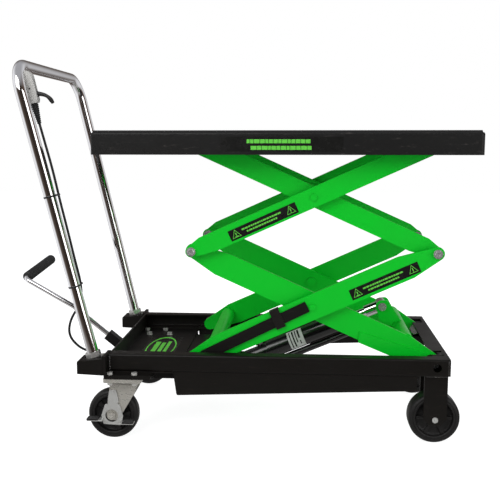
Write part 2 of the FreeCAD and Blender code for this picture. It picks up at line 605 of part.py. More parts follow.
def caster_fork(y):
    """A pressed fork: a crown over the wheel and two raked cheeks down to the axle."""
    crown = box(CASTER_X - 34, CASTER_X + 32, y - CHEEK_GAP - CHEEK_SHEET, y + CHEEK_GAP + CHEEK_SHEET,
                CROWN_TOP - CROWN_SHEET, CROWN_TOP)
    cheek_corners = [
        (CASTER_X - 34, CROWN_TOP), (CASTER_X + 32, CROWN_TOP), (CASTER_X + 30, CROWN_TOP - 16),
        (AXLE_X + 15, WHEEL_RADIUS - 13), (AXLE_X - 13, WHEEL_RADIUS - 13), (AXLE_X - 14, WHEEL_RADIUS + 10),
    ]
    cheek = plate_xz(cheek_corners, y + CHEEK_GAP, y + CHEEK_GAP + CHEEK_SHEET, [5, 4, 8, 12, 12, 8])
    other = plate_xz(
        cheek_corners, y - CHEEK_GAP - CHEEK_SHEET, y - CHEEK_GAP, [5, 4, 8, 12, 12, 8])
    fork = fused(crown, cheek, other)
    fork = fork.cut(rod_z(CASTER_X, y, 10.5, CROWN_TOP - CROWN_SHEET - 1, CROWN_TOP + 1))
    fork = fork.cut(rod_y(AXLE_X, WHEEL_RADIUS, AXLE_RADIUS + RUN_CLEAR, y - 50, y + 50))
    cheek_face = CHEEK_GAP + CHEEK_SHEET
    axle = rod_y(AXLE_X, WHEEL_RADIUS, AXLE_RADIUS, y - cheek_face - 9, y + cheek_face + 9)
    caps = []
    for side in (-1, 1):
        near = Vector(AXLE_X, y + side * cheek_face, WHEEL_RADIUS)
        far = Vector(AXLE_X, y + side * (cheek_face + 7), WHEEL_RADIUS)
        caps.append(hexagon(near, far, 17))
    return group(fork, fused(axle, *caps))


BRAKE_SHEET = 3.0
BRAKE_GAP = 1.0


def brake_pedal(y, side):
    """A two-winged brake pedal outside the fork's outer cheek, with its pivot pin and a shoe arm."""
    face = y + side * (CHEEK_GAP + CHEEK_SHEET)
    inner = face + side * BRAKE_GAP
    outer = inner + side * BRAKE_SHEET
    low, high = sorted((inner, outer))
    hanger = plate_xz(
        [(AXLE_X - 4, 128), (AXLE_X + 12, 128), (AXLE_X + 18, 100), (AXLE_X + 12, 84), (AXLE_X - 8, 84),
         (AXLE_X - 9, 105)],
        low, high, [4, 4, 5, 3, 3, 5])
    BRIDGE = 21.0
    bridge = plate_xz(
        [(AXLE_X - 16, 92), (AXLE_X + 20, 92), (AXLE_X + 28, 62), (AXLE_X + 23, 39), (AXLE_X - 21, 41),
         (AXLE_X - 26, 62)],
        low, high, [5, 5, 5, 4, 4, 5])
    bridge = bridge.cut(rod_y(AXLE_X, WHEEL_RADIUS, 16, low - 1, high + 1))
    wing_low, wing_high = sorted((inner, inner + side * BRIDGE))
    left_wing = box(AXLE_X - 58, AXLE_X - 20, wing_low, wing_high, 54, 57)
    right_wing = box(AXLE_X + 20, AXLE_X + 56, wing_low, wing_high, 47, 50)
    pin_low, pin_high = sorted((y + side * (CHEEK_GAP + CHEEK_SHEET / 2), outer + side * 2))
    pivot = rod_y(BRAKE_PIVOT_X, BRAKE_PIVOT_Z, 3.5, pin_low, pin_high)
    return fused(hanger, bridge, left_wing, right_wing, pivot)


BRAKE_PIVOT_X = AXLE_X + 4
BRAKE_PIVOT_Z = 121.0
for name, side in (("left", 1), ("right", -1)):
    y = side * CASTER_Y
    fork = caster_fork(y)
    pin_hole = rod_y(BRAKE_PIVOT_X, BRAKE_PIVOT_Z, 3.5 + RUN_CLEAR, y - 60, y + 60)
    nodes["caster_fork_" + name] = group(fork.cut(pin_hole))
    nodes["caster_wheel_" + name] = wheel_solid(
        AXLE_X, y, CASTER_WHEEL_WIDTH, 2 * CHEEK_GAP - 1, AXLE_RADIUS + RUN_CLEAR)
    nodes["brake_pedal_" + name] = brake_pedal(y, side)

# ---- fixed front wheels -----------------------------------------------------------------------
FORK_OUTER = FRONT_WHEEL_Y + FRONT_FORK_REACH
FORK_INNER = FRONT_WHEEL_Y - FRONT_FORK_REACH
FORK_X0 = BASE_PIVOT_X - FRONT_FORK_LENGTH / 2
FORK_X1 = BASE_PIVOT_X + FRONT_FORK_LENGTH / 2
leg_corners = [
    (FORK_X0, RAIL_BOTTOM - FORK_SHEET), (FORK_X1, RAIL_BOTTOM - FORK_SHEET), (FORK_X1, WHEEL_RADIUS + 2),
    (FORK_X1 - 14, WHEEL_RADIUS - 13), (FORK_X0 + 14, WHEEL_RADIUS - 13), (FORK_X0, WHEEL_RADIUS + 2),
]
outer_leg = plate_xz(leg_corners, FORK_OUTER - FORK_SHEET, FORK_OUTER)
inner_leg = plate_xz(leg_corners, FORK_INNER, FORK_INNER + FORK_SHEET)
fork_top = box(FORK_X0, FORK_X1, FORK_INNER, FORK_OUTER, RAIL_BOTTOM - FORK_SHEET, RAIL_BOTTOM)
front_fork = fused(outer_leg, inner_leg, fork_top)
front_fork = front_fork.cut(rod_y(BASE_PIVOT_X, WHEEL_RADIUS, AXLE_RADIUS + 1 + RUN_CLEAR, FORK_INNER - 1, FORK_OUTER + 1))
nodes["front_forks"] = both_sides(front_fork)
front_axle = fused(
    rod_y(BASE_PIVOT_X, WHEEL_RADIUS, AXLE_RADIUS + 1, FORK_INNER - 6, FORK_OUTER + 2),
    hexagon(Vector(BASE_PIVOT_X, FORK_INNER - 5, WHEEL_RADIUS), Vector(BASE_PIVOT_X, FORK_INNER, WHEEL_RADIUS), 19))
nodes["front_axles"] = both_sides(front_axle)
front_wheel = wheel_solid(
    BASE_PIVOT_X, FRONT_WHEEL_Y, FRONT_WHEEL_WIDTH, FORK_OUTER - FORK_INNER - 2 * FORK_SHEET - 1,
    AXLE_RADIUS + 1 + RUN_CLEAR)
nodes["front_wheel_left"] = front_wheel
nodes["front_wheel_right"] = mirrored(front_wheel)

# ---- arm pivots on the base -------------------------------------------------------------------
BRACKET_INNER = INNER_ARM_FACE + DOUBLER_SHEET + 1.5
BRACKET_SHEET = 8.0
bracket = plate_xz(
    [(BASE_PIVOT_X - 18, RAIL_BOTTOM + RAIL_WALL + 0.2), (RAIL_END - 13, RAIL_BOTTOM + RAIL_WALL + 0.2),
     (RAIL_END - 13, RAIL_BOTTOM + RAIL_WALL), (RAIL_END, RAIL_BOTTOM + RAIL_WALL), (RAIL_END, RAIL_TOP - RAIL_WALL),
     (BASE_PIVOT_X - 18, RAIL_TOP - RAIL_WALL)],
    BRACKET_INNER, BRACKET_INNER + BRACKET_SHEET, [8, 0, 0, 0, 0, 10])
tie = box(RAIL_END - 6, RAIL_END, BRACKET_INNER + BRACKET_SHEET, FLANGE_EDGE, RAIL_BOTTOM + RAIL_WALL, RAIL_TOP - RAIL_WALL)
outer_tab = plate_xz(
    [(BASE_PIVOT_X - 18, RAIL_BOTTOM + RAIL_WALL), (RAIL_END, RAIL_BOTTOM + RAIL_WALL),
     (RAIL_END, RAIL_TOP - RAIL_WALL), (BASE_PIVOT_X - 18, RAIL_TOP - RAIL_WALL)],
    FLANGE_EDGE - 5, FLANGE_EDGE, [8, 0, 0, 10])
bracket = fused(bracket, tie, outer_tab)
bracket = bracket.cut(rod_y(BASE_PIVOT_X, PIVOT_Z, BASE_BORE, INNER_ARM_BACK, HALF_WIDTH))
nodes["arm_pivot_brackets"] = both_sides(bracket)
base_pin = fused(
    rod_y(BASE_PIVOT_X, PIVOT_Z, BASE_PIN_RADIUS, INNER_ARM_BACK - 9, FLANGE_EDGE),
    rod_y(BASE_PIVOT_X, PIVOT_Z, BASE_PIN_RADIUS + 4.5, INNER_ARM_BACK - SIDE_CLEAR - 3, INNER_ARM_BACK - SIDE_CLEAR),
    hexagon(Vector(BASE_PIVOT_X, INNER_ARM_BACK - 11, PIVOT_Z), Vector(BASE_PIVOT_X, INNER_ARM_BACK - 3, PIVOT_Z), 24))
nodes["base_pivot_pins"] = both_sides(base_pin)

# ---- table ------------------------------------------------------------------------------------
HALF_TABLE = TABLE_WIDTH / 2
table_corners = [(0, -HALF_TABLE), (0, HALF_TABLE), (TABLE_LENGTH, HALF_TABLE), (TABLE_LENGTH, -HALF_TABLE)]
deck = plate_xy(table_corners, SKIRT_EDGE, DECK_TOP, [TABLE_CORNER] * 4)
top_edges = [edge for edge in deck.Edges if edge.BoundBox.ZMin > DECK_TOP - 0.01]
deck = deck.makeFillet(5.0, top_edges)
inner_corners = [
    (TABLE_SHEET, TABLE_SHEET - HALF_TABLE), (TABLE_SHEET, HALF_TABLE - TABLE_SHEET),
    (TABLE_LENGTH - TABLE_SHEET, HALF_TABLE - TABLE_SHEET), (TABLE_LENGTH - TABLE_SHEET, TABLE_SHEET - HALF_TABLE),
]
deck = deck.cut(plate_xy(inner_corners, SKIRT_EDGE - 1, DECK_UNDER, [TABLE_CORNER - TABLE_SHEET] * 4))
nodes["table_deck"] = deck
mat_x = MAT_INSET + 2
mat_y = HALF_TABLE - MAT_INSET - 2
mat = plate_xy(
    [(mat_x, -mat_y), (mat_x, mat_y), (TABLE_LENGTH - mat_x, mat_y), (TABLE_LENGTH - mat_x, -mat_y)],
    DECK_TOP, DECK_TOP + MAT_THICKNESS, [5, 5, 5, 5])
nodes["table_mat"] = mat

TRACK_WALL = 3.0
LOW_RUN = BASE_PIVOT_X - ARM_LENGTH * math.cos(math.radians(LOWEST_ANGLE))
HIGH_RUN = BASE_PIVOT_X - ARM_LENGTH * math.cos(math.radians(HIGHEST_ANGLE))
TRACK_START = LOW_RUN - ROLLER_RADIUS - 8
TRACK_END = HIGH_RUN + ROLLER_RADIUS + 22
TRACK_LEVEL = TOP_PIVOT_Z - ROLLER_RADIUS - ROLLER_CLEAR
track_section = [
    (ROLLER_OUTER + 2.5, DECK_UNDER), (ROLLER_OUTER + 2.5 + TRACK_WALL, DECK_UNDER),
    (ROLLER_OUTER + 2.5 + TRACK_WALL, TRACK_LEVEL - TRACK_WALL), (ROLLER_INNER - 1, TRACK_LEVEL - TRACK_WALL),
    (ROLLER_INNER - 1, TRACK_LEVEL), (ROLLER_OUTER + 2.5, TRACK_LEVEL),
]
track = plate_yz(track_section, TRACK_START, TRACK_END, [0, 0, 3, 0, 0, 1])
track_stop = box(TRACK_START, TRACK_START + 3, ROLLER_INNER - 1, ROLLER_OUTER + 2.5, TRACK_LEVEL, DECK_UNDER)
track = fused(track, track_stop)
lug = plate_xz(
    [(BASE_PIVOT_X - 30, DECK_UNDER), (BASE_PIVOT_X + 30, DECK_UNDER), (BASE_PIVOT_X + 15, TOP_PIVOT_Z - 16),
     (BASE_PIVOT_X - 15, TOP_PIVOT_Z - 16)],
    LUG_INNER, LUG_INNER + LUG_SHEET, [0, 0, 13, 13])
lug = lug.cut(rod_y(BASE_PIVOT_X, TOP_PIVOT_Z, PIN_BORE, LUG_INNER - 1, LUG_INNER + LUG_SHEET + 1))
rib = box(BASE_PIVOT_X - 260, BASE_PIVOT_X - 236, 3 - HALF_TABLE, HALF_TABLE - 3, DECK_UNDER - 4, DECK_UNDER)
nodes["table_underframe"] = group(both_sides(track), both_sides(lug), rib)

# ---- service prop -----------------------------------------------------------------------------
PROP_WIDTH = 27.0
PROP_LENGTH = 281.0
PROP_TILT = math.radians(2.3)
PROP_FACE = OUTER_ARM_FACE + SIDE_CLEAR


def prop_at(along, rise):
    """A place on the prop bar, measured from its pivot along the bar and above its middle."""
    on_arm = PROP_PIVOT_ALONG + along * math.cos(PROP_TILT) - rise * math.sin(PROP_TILT)
    above = PROP_PIVOT_RISE + along * math.sin(PROP_TILT) + rise * math.cos(PROP_TILT)
    return lower_outer.at(on_arm, above)


half_prop = PROP_WIDTH / 2
prop = plate_xz(
    [prop_at(-11, -half_prop), prop_at(PROP_LENGTH, -half_prop), prop_at(PROP_LENGTH, half_prop),
     prop_at(-11, half_prop)],
    -PROP_FACE - PROP_SHEET, -PROP_FACE, [9, 2, 2, 9])
prop_x, prop_z = prop_at(0, 0)
prop = prop.cut(rod_y(prop_x, prop_z, PROP_PIN_RADIUS + RUN_CLEAR, -PROP_FACE - 20, -PROP_FACE + 1))
nodes["prop_bar"] = prop
prop_pin = fused(
    rod_y(prop_x, prop_z, PROP_PIN_RADIUS, -PROP_FACE - PROP_SHEET - 1, -OUTER_ARM_FACE),
    rod_y(prop_x, prop_z, PROP_PIN_RADIUS + 3.5, -PROP_FACE - PROP_SHEET - 3.3, -PROP_FACE - PROP_SHEET - 0.3))

CLIP_SHEET = 2.0
CLIP_ALONG = 236.0
CLIP_WIDTH = 24.0
half_lower = LOWER_ARM_WIDTH / 2
clip_back = OUTER_ARM_BACK - CLIP_SHEET - SIDE_CLEAR
clip_front = PROP_FACE + PROP_SHEET + SIDE_CLEAR


def clip_block(rise0, rise1, y0, y1):
    """A stretch of the clip's bent strip, square to the arm."""
    spans = [(CLIP_ALONG - CLIP_WIDTH / 2, rise0), (CLIP_ALONG + CLIP_WIDTH / 2, rise0),
             (CLIP_ALONG + CLIP_WIDTH / 2, rise1), (CLIP_ALONG - CLIP_WIDTH / 2, rise1)]
    return plate_xz([lower_outer.at(along, rise) for along, rise in spans], y0, y1)


clip = fused(
    clip_block(half_lower + SIDE_CLEAR, half_lower + SIDE_CLEAR + CLIP_SHEET, -clip_front - CLIP_SHEET, -clip_back),
    clip_block(half_lower - 14, half_lower + SIDE_CLEAR, -clip_back - CLIP_SHEET, -clip_back),
    clip_block(-16, half_lower + SIDE_CLEAR, -clip_front - CLIP_SHEET, -clip_front))
nodes["prop_clip"] = group(clip, prop_pin)

# ---- lift ram ---------------------------------------------------------------------------------
ram_pin_x, ram_pin_z = lower_inner.at(RAM_PIN_ALONG, RAM_PIN_RISE)
ram_base = Vector(RAM_BASE_X, 0, RAM_BASE_Z)
ram_head = Vector(ram_pin_x, 0, ram_pin_z)
ram_axis = (ram_head - ram_base).normalize()
ROD_END_LENGTH = 46.0
ROD_END_RADIUS = 17.0
GLAND_LENGTH = 22.0
BASE_EYE_RADIUS = 21.0
NECK_RADIUS = 21.0
RETURN_RADIUS = 9.0
RETURN_DROP = 36.0


def on_ram(distance, rise=0):
    """A point this far up the ram from its base pivot, and this far above its axis."""
    return ram_base + ram_axis * distance + Vector(-ram_axis.z, 0, ram_axis.x) * rise


barrel = rod(on_ram(BARREL_START), on_ram(BARREL_END), BARREL_RADIUS)
neck = rod(on_ram(10), on_ram(BARREL_START), NECK_RADIUS)
base_eye = rod_y(RAM_BASE_X, RAM_BASE_Z, BASE_EYE_RADIUS, -EAR_GAP / 2, EAR_GAP / 2)
return_tube = rod(on_ram(BARREL_START - 12, -RETURN_DROP), on_ram(BARREL_END - 6, -RETURN_DROP), RETURN_RADIUS)
return_legs = [
    rod(on_ram(distance, -RETURN_DROP), on_ram(distance, -15), RETURN_RADIUS - 1)
    for distance in (BARREL_START - 2, BARREL_END - 16)
]
port = rod(on_ram(70, 12), on_ram(70, 24), 7)
port_nut = hexagon(on_ram(70, 24), on_ram(70, 33), 19)
base_pin_bar = rod_y(RAM_BASE_X, RAM_BASE_Z, PIN_RADIUS, -EAR_GAP / 2 - 20, EAR_GAP / 2 + 20)
washers = [
    rod_y(RAM_BASE_X, RAM_BASE_Z, 17, EAR_GAP / 2 + 14.6, EAR_GAP / 2 + 17.6),
    rod_y(RAM_BASE_X, RAM_BASE_Z, 17, -EAR_GAP / 2 - 17.6, -EAR_GAP / 2 - 14.6),
]
ram_barrel = fused(barrel, neck, base_eye, return_tube, *return_legs, port, port_nut, base_pin_bar, *washers)
nodes["ram_barrel"] = ram_barrel.cut(rod(on_ram(BARREL_START + 12), on_ram(BARREL_END + 1), BARREL_BORE))
gland = fused(
    rod(on_ram(BARREL_END - GLAND_LENGTH), on_ram(BARREL_END), BARREL_BORE),
    rod(on_ram(BARREL_END), on_ram(BARREL_END + 5), BARREL_RADIUS - 1))
nodes["ram_gland"] = gland.cut(
    rod(on_ram(BARREL_END - GLAND_LENGTH - 1), on_ram(BARREL_END + 6), RAM_ROD_RADIUS + RUN_CLEAR))
ram_length = (ram_head - ram_base).Length
ram_rod = fused(
    rod(on_ram(ram_length - RAM_ROD_LENGTH), on_ram(ram_length - 20), RAM_ROD_RADIUS),
    rod(on_ram(ram_length - RAM_ROD_LENGTH), on_ram(ram_length - RAM_ROD_LENGTH + 18), BARREL_BORE - RUN_CLEAR),
    rod(on_ram(ram_length - ROD_END_LENGTH), on_ram(ram_length - 6), ROD_END_RADIUS - 1),
    rod_y(ram_pin_x, ram_pin_z, ROD_END_RADIUS, -EAR_GAP / 2, EAR_GAP / 2))
nodes["ram_rod"] = ram_rod.cut(rod_y(ram_pin_x, ram_pin_z, PIN_BORE, -EAR_GAP, EAR_GAP))
ear_outside = EAR_GAP / 2 + SIDE_CLEAR + EAR_SHEET
nodes["ram_top_pin"] = fused(
    rod_y(ram_pin_x, ram_pin_z, PIN_RADIUS, -ear_outside - 2, ear_outside + 2),
    rod_y(ram_pin_x, ram_pin_z, PIN_RADIUS + 3, -ear_outside - 2, -ear_outside),
    hexagon(Vector(ram_pin_x, -ear_outside - 7, ram_pin_z), Vector(ram_pin_x, -ear_outside - 2, ram_pin_z), 18),
    rod_y(ram_pin_x, ram_pin_z, PIN_RADIUS + 3, ear_outside, ear_outside + 2),
    hexagon(Vector(ram_pin_x, ear_outside + 2, ram_pin_z), Vector(ram_pin_x, ear_outside + 8, ram_pin_z), 18))

# cross shaft under the rails, with slotted plates that hold the ram's base pin
SHAFT_RADIUS = 13.0
SHAFT_X = RAM_BASE_X - BASE_EYE_RADIUS - SHAFT_RADIUS - 6
SHAFT_Z = RAM_BASE_Z + 3
PLATE_IN = EAR_GAP / 2 + 6.5
slot_end_x = RAM_BASE_X + RAM_SLOT_X
slot_end_z = RAM_BASE_Z + RAM_SLOT_Z
slot_clear = PIN_RADIUS + 3.0
slot_side = Vector(-RAM_SLOT_Z, 0, RAM_SLOT_X).normalize() * slot_clear


def slot_cut():
    """The slot that the base pin wanders in as the table rises and sinks."""
    start = Vector(RAM_BASE_X, 0, RAM_BASE_Z)
    end = Vector(slot_end_x, 0, slot_end_z)
    ring = [start + slot_side, end + slot_side, end - slot_side, start - slot_side]
    middle = plate_xz([(p.x, p.z) for p in ring], PLATE_IN - 1, PLATE_IN + 9)
    ends = [rod_y(p.x, p.z, slot_clear, PLATE_IN - 1, PLATE_IN + 9) for p in (start, end)]
    return fused(middle, *ends)


mount_plate = plate_xz(
    [(SHAFT_X - 20, SHAFT_Z + 18), (RAM_BASE_X + 14, RAM_BASE_Z + 21), (slot_end_x + 21, slot_end_z + 12),
     (slot_end_x + 19, slot_end_z - 20), (slot_end_x - 18, slot_end_z - 20), (SHAFT_X - 20, SHAFT_Z - 18)],
    PLATE_IN, PLATE_IN + 6, [14, 12, 12, 12, 12, 14])
mount_plate = mount_plate.cut(slot_cut())
shaft = rod_y(SHAFT_X, SHAFT_Z, SHAFT_RADIUS, 2 * RAIL_WALL - HALF_WIDTH, HALF_WIDTH - 2 * RAIL_WALL)
hanger = plate_xz(
    [(SHAFT_X - 24, RAIL_BOTTOM), (SHAFT_X + 24, RAIL_BOTTOM), (SHAFT_X + 18, SHAFT_Z - 16), (SHAFT_X - 18, SHAFT_Z - 16)],
    HALF_WIDTH - 2 * RAIL_WALL - 6, HALF_WIDTH - 2 * RAIL_WALL, [0, 0, 12, 12])
nodes["ram_cross_shaft"] = fused(shaft, mount_plate, mirrored(mount_plate), hanger, mirrored(hanger))

# ---- foot pump --------------------------------------------------------------------------------
PUMP_END = PUMP_START + PUMP_LENGTH
PUMP_UNDER = FLOOR_UNDER - PUMP_DEPTH
half_pump = PUMP_WIDTH / 2
PLUNGER_Z = PEDAL_PIVOT_Z - PEDAL_CRANK
PLUNGER_RADIUS = 7.0
PEDAL_EAR = 7.0
PEDAL_HALF = 15.0
PEDAL_PIN_RADIUS = 6.0
pump = plate_xz(
    [(PUMP_START, PUMP_UNDER), (PUMP_END, PUMP_UNDER), (PUMP_END, FLOOR_UNDER), (PUMP_START, FLOOR_UNDER)],
    -half_pump, half_pump, [6, 6, 0, 0])
pedal_ear = plate_xz(
    [(PUMP_START + 8, FLOOR_UNDER), (PUMP_START + 8, PEDAL_PIVOT_Z - 14), (PEDAL_PIVOT_X - 13, PEDAL_PIVOT_Z - 13),
     (PEDAL_PIVOT_X - 13, PEDAL_PIVOT_Z + 13), (PEDAL_PIVOT_X + 22, FLOOR_UNDER)],
    PEDAL_HALF + SIDE_CLEAR, PEDAL_HALF + SIDE_CLEAR + PEDAL_EAR, [0, 0, 12, 12, 0])
pump = fused(pump, pedal_ear, mirrored(pedal_ear))
pump = pump.cut(rod_y(PEDAL_PIVOT_X, PEDAL_PIVOT_Z, PEDAL_PIN_RADIUS + RUN_CLEAR, -60, 60))
pump = pump.cut(rod(Vector(PUMP_START - 1, 0, PLUNGER_Z), Vector(PUMP_START + 50, 0, PLUNGER_Z), PLUNGER_RADIUS + RUN_CLEAR))
VALVE_X = PUMP_START + 40
VALVE_Z = FLOOR_UNDER - 22
VALVE_RADIUS = 5.0
pump = pump.cut(rod_y(VALVE_X, VALVE_Z, VALVE_RADIUS + RUN_CLEAR, -half_pump - 1, -half_pump + 22))
cable_rest = box(VALVE_X - 19.5, VALVE_X - 16.5, -half_pump - 13, -half_pump, PUMP_UNDER + 4, PUMP_UNDER + 20)
nodes["pump_body"] = fused(pump, cable_rest)
tank_side = FLOOR_BOLT_Y - 28
tank = plate_xz(
    [(PUMP_START + 4, PUMP_UNDER + 4), (PUMP_END + 26, PUMP_UNDER + 4), (PUMP_END + 26, FLOOR_UNDER - 1),
     (PUMP_START + 4, FLOOR_UNDER - 1)],
    half_pump, tank_side, [10, 10, 3, 3])
filler = rod_z(PUMP_END + 10, (half_pump + tank_side) / 2, 8, FLOOR_UNDER - 1, FLOOR_UNDER)
nodes["pump_tank"] = fused(tank, filler)

PLUNGER_HEAD = PEDAL_PIVOT_X + 8.4
plunger = fused(
    rod(Vector(PLUNGER_HEAD, 0, PLUNGER_Z), Vector(PLUNGER_HEAD + 5, 0, PLUNGER_Z), 12),
    rod(Vector(PLUNGER_HEAD + 5, 0, PLUNGER_Z), Vector(PUMP_START + 30, 0, PLUNGER_Z), PLUNGER_RADIUS))
nodes["pump_plunger"] = plunger
SPRING_WIRE = 1.4
SPRING_RADIUS = 9.6
SPRING_TURNS = 5
spring_length = PUMP_START - PLUNGER_HEAD - 5 - 2 * SPRING_WIRE
helix = Part.makeHelix(spring_length / SPRING_TURNS, spring_length, SPRING_RADIUS)
wire_ring = Part.Wire(Part.makeCircle(SPRING_WIRE, Vector(SPRING_RADIUS, 0, 0), Vector(0, 1, 0)))
spring = Part.Wire(helix.Edges).makePipeShell([wire_ring], True, True)
spring.rotate(Vector(0, 0, 0), Vector(0, 1, 0), 90)
spring.translate(Vector(PLUNGER_HEAD + 5 + SPRING_WIRE, 0, PLUNGER_Z))
nodes["plunger_spring"] = spring

# pressure pipe: a rigid steel line from the pump block to the ram's cross shaft
pipe_points = [
    Vector(PUMP_END, -24, PUMP_UNDER + 12), Vector(PUMP_END + 34, -24, PUMP_UNDER + 12),
    Vector(PUMP_END + 34, -52, PUMP_UNDER + 4), Vector(SHAFT_X - SHAFT_RADIUS - SIDE_CLEAR, -52, SHAFT_Z),
]
pipe_path = bent_path(pipe_points, [11, 11])
nodes["pressure_pipe"] = swept(pipe_path, 3.0, pipe_points[0], Vector(1, 0, 0))

# ---- foot pedal -------------------------------------------------------------------------------
PEDAL_RISE = math.radians(39.2)
ROD_RISE = math.radians(29.6)
GRIP_RISE = math.radians(5.0)
SOCKET_SIDE = 25.0
SOCKET_START = 58.0
SOCKET_LENGTH = 46.0
ROD_STRAIGHT = 223.0
ROD_UPPER = 154.0
GRIP_LENGTH = 222.0
pedal_dir = Vector(-math.cos(PEDAL_RISE), 0, math.sin(PEDAL_RISE))
pedal_up = Vector(math.sin(PEDAL_RISE), 0, math.cos(PEDAL_RISE))
pedal_pivot = Vector(PEDAL_PIVOT_X, 0, PEDAL_PIVOT_Z)


def pedal_block(along0, along1, half_width, half_height):
    """A bar lying along the pedal's direction, on both sides of its centre line."""
    ring = [
        pedal_pivot + pedal_dir * along0 + pedal_up * half_height, pedal_pivot + pedal_dir * along1 + pedal_up * half_height,
        pedal_pivot + pedal_dir * along1 - pedal_up * half_height, pedal_pivot + pedal_dir * along0 - pedal_up * half_height,
    ]
    return plate_xz([(p.x, p.z) for p in ring], -half_width, half_width)


socket_end = SOCKET_START + SOCKET_LENGTH
lever = pedal_block(0, SOCKET_START + 12, PEDAL_HALF - 4, SOCKET_SIDE / 2 - 1)
socket = pedal_block(SOCKET_START, socket_end, SOCKET_SIDE / 2, SOCKET_SIDE / 2)
boss = rod_y(PEDAL_PIVOT_X, PEDAL_PIVOT_Z, 13, -PEDAL_HALF, PEDAL_HALF)
crank = box(PEDAL_PIVOT_X - 7, PEDAL_PIVOT_X + 7, -8, 8, PLUNGER_Z, PEDAL_PIVOT_Z)
nose = rod_y(PEDAL_PIVOT_X, PLUNGER_Z, 8, -8, 8)
pivot_pin = rod_y(PEDAL_PIVOT_X, PEDAL_PIVOT_Z, PEDAL_PIN_RADIUS, -PEDAL_HALF - PEDAL_EAR - 4, PEDAL_HALF + PEDAL_EAR + 4)
pedal_socket = fused(lever, socket, boss, crank, nose, pivot_pin)
pedal_socket = pedal_socket.cut(rod(
    pedal_pivot + pedal_dir * (SOCKET_START + 14), pedal_pivot + pedal_dir * (socket_end + 1), PEDAL_ROD_RADIUS + RUN_CLEAR))
nodes["pedal_socket"] = pedal_socket
upper_dir = Vector(-math.cos(ROD_RISE), 0, math.sin(ROD_RISE))
rod_start = pedal_pivot + pedal_dir * (SOCKET_START + 15)
rod_kink = pedal_pivot + pedal_dir * ROD_STRAIGHT
rod_bend = rod_kink + upper_dir * ROD_UPPER
grip_dir = Vector(0, math.cos(GRIP_RISE), math.sin(GRIP_RISE))
rod_end = rod_bend + grip_dir * GRIP_LENGTH
rod_path = bent_path([rod_start, rod_kink, rod_bend, rod_end], [60, 16])
nodes["pedal_rod"] = swept(rod_path, PEDAL_ROD_RADIUS, rod_start, pedal_dir)
grip_start = rod_bend + grip_dir * 18
grip = rod(grip_start, rod_end + grip_dir * 4, PEDAL_GRIP_RADIUS)
grip = grip.cut(rod(grip_start - grip_dir, rod_end + grip_dir * 0.3, PEDAL_ROD_RADIUS + RUN_CLEAR))
nodes["pedal_grip"] = grip

# ---- handle sockets and push handle -----------------------------------------------------------
SOCKET_HALF = 29.0
SOCKET_REACH = 62.0
socket_x1 = RAIL_START - END_PLATE
socket_x0 = socket_x1 - 8 - SOCKET_REACH
foot = Vector(HANDLE_FOOT_X, HANDLE_Y, HANDLE_FOOT_Z)
top = Vector(HANDLE_TOP_X, HANDLE_TOP_Y, HANDLE_TOP_Z)
post_dir = (top - foot).normalize()
handle_socket = plate_xz(
    [(socket_x0, RAIL_TOP - 43), (socket_x0, RAIL_TOP - 11), (socket_x1 - 8, RAIL_TOP - 5),
     (socket_x1 - 8, FLOOR_UNDER + 0.3)],
    HANDLE_Y - SOCKET_HALF, HANDLE_Y + SOCKET_HALF, [2, 4, 0, 0])
flange = box(socket_x1 - 8, socket_x1, HANDLE_Y - SOCKET_HALF - 2, HANDLE_Y + SOCKET_HALF - 1, FLOOR_UNDER + 0.3, RAIL_TOP + 2)
handle_socket = fused(handle_socket, flange)
post_foot = foot - post_dir * 34
handle_socket = handle_socket.cut(rod(post_foot, top, HANDLE_TUBE_RADIUS + RUN_CLEAR))
nut_seat = foot - post_dir * 2
nut_end = foot + post_dir * 11
handle_socket = handle_socket.cut(rod(nut_seat, foot + post_dir * 60, 23))
clamp_x = HANDLE_FOOT_X + 23
clamp_seat = RAIL_TOP - 4.4
clamp_hole = rod_z(clamp_x, HANDLE_Y, 3.5 + RUN_CLEAR, RAIL_TOP - 18, RAIL_TOP + 5)
clamp_face = rod_z(clamp_x, HANDLE_Y, 7, clamp_seat - 1.6, RAIL_TOP + 1.5)
handle_socket = handle_socket.cut(clamp_hole).cut(clamp_face)
nodes["handle_sockets"] = both_sides(handle_socket)
collar_nut = hexagon(nut_seat, nut_end, 33).cut(rod(nut_seat, top, HANDLE_TUBE_RADIUS + RUN_CLEAR))
clamp_bolt = fused(
    rod_z(clamp_x, HANDLE_Y, 3.5, RAIL_TOP - 17, clamp_seat),
    hexagon(Vector(clamp_x, HANDLE_Y, clamp_seat - 1.6), Vector(clamp_x, HANDLE_Y, clamp_seat + 5), 11))
nodes["handle_nuts"] = group(both_sides(collar_nut), both_sides(clamp_bolt))

far_foot = Vector(post_foot.x, -post_foot.y, post_foot.z)
far_top = Vector(top.x, -top.y, top.z)
handle_path = bent_path([post_foot, top, far_top, far_foot], [HANDLE_BEND, HANDLE_BEND])
outer_tube = swept(handle_path, HANDLE_TUBE_RADIUS, post_foot, post_dir)
inner_tube = swept(handle_path, HANDLE_TUBE_RADIUS - HANDLE_TUBE_WALL, post_foot, post_dir)
nodes["handle_tube"] = outer_tube.cut(inner_tube)

# ---- hand release -----------------------------------------------------------------------------
# the bracket clamps the right-hand post from inside; its lever pulls the cable up
post_rise = Vector(post_dir.x, 0, post_dir.z).normalize()
post_side = Vector(post_rise.z, 0, -post_rise.x)


def on_post(along, across, y):
    """A point beside the right-hand post: distance down from its top, and out towards the table."""
    place = far_top - post_rise * along + post_side * across
    return Vector(place.x, y, place.z)


BRACKET_Y = -HANDLE_TOP_Y + HANDLE_TUBE_RADIUS + 1.6
bracket_places = [(20, -6), (20, 20), (30, 29), (90, 29), (97, 26), (97, 4)]


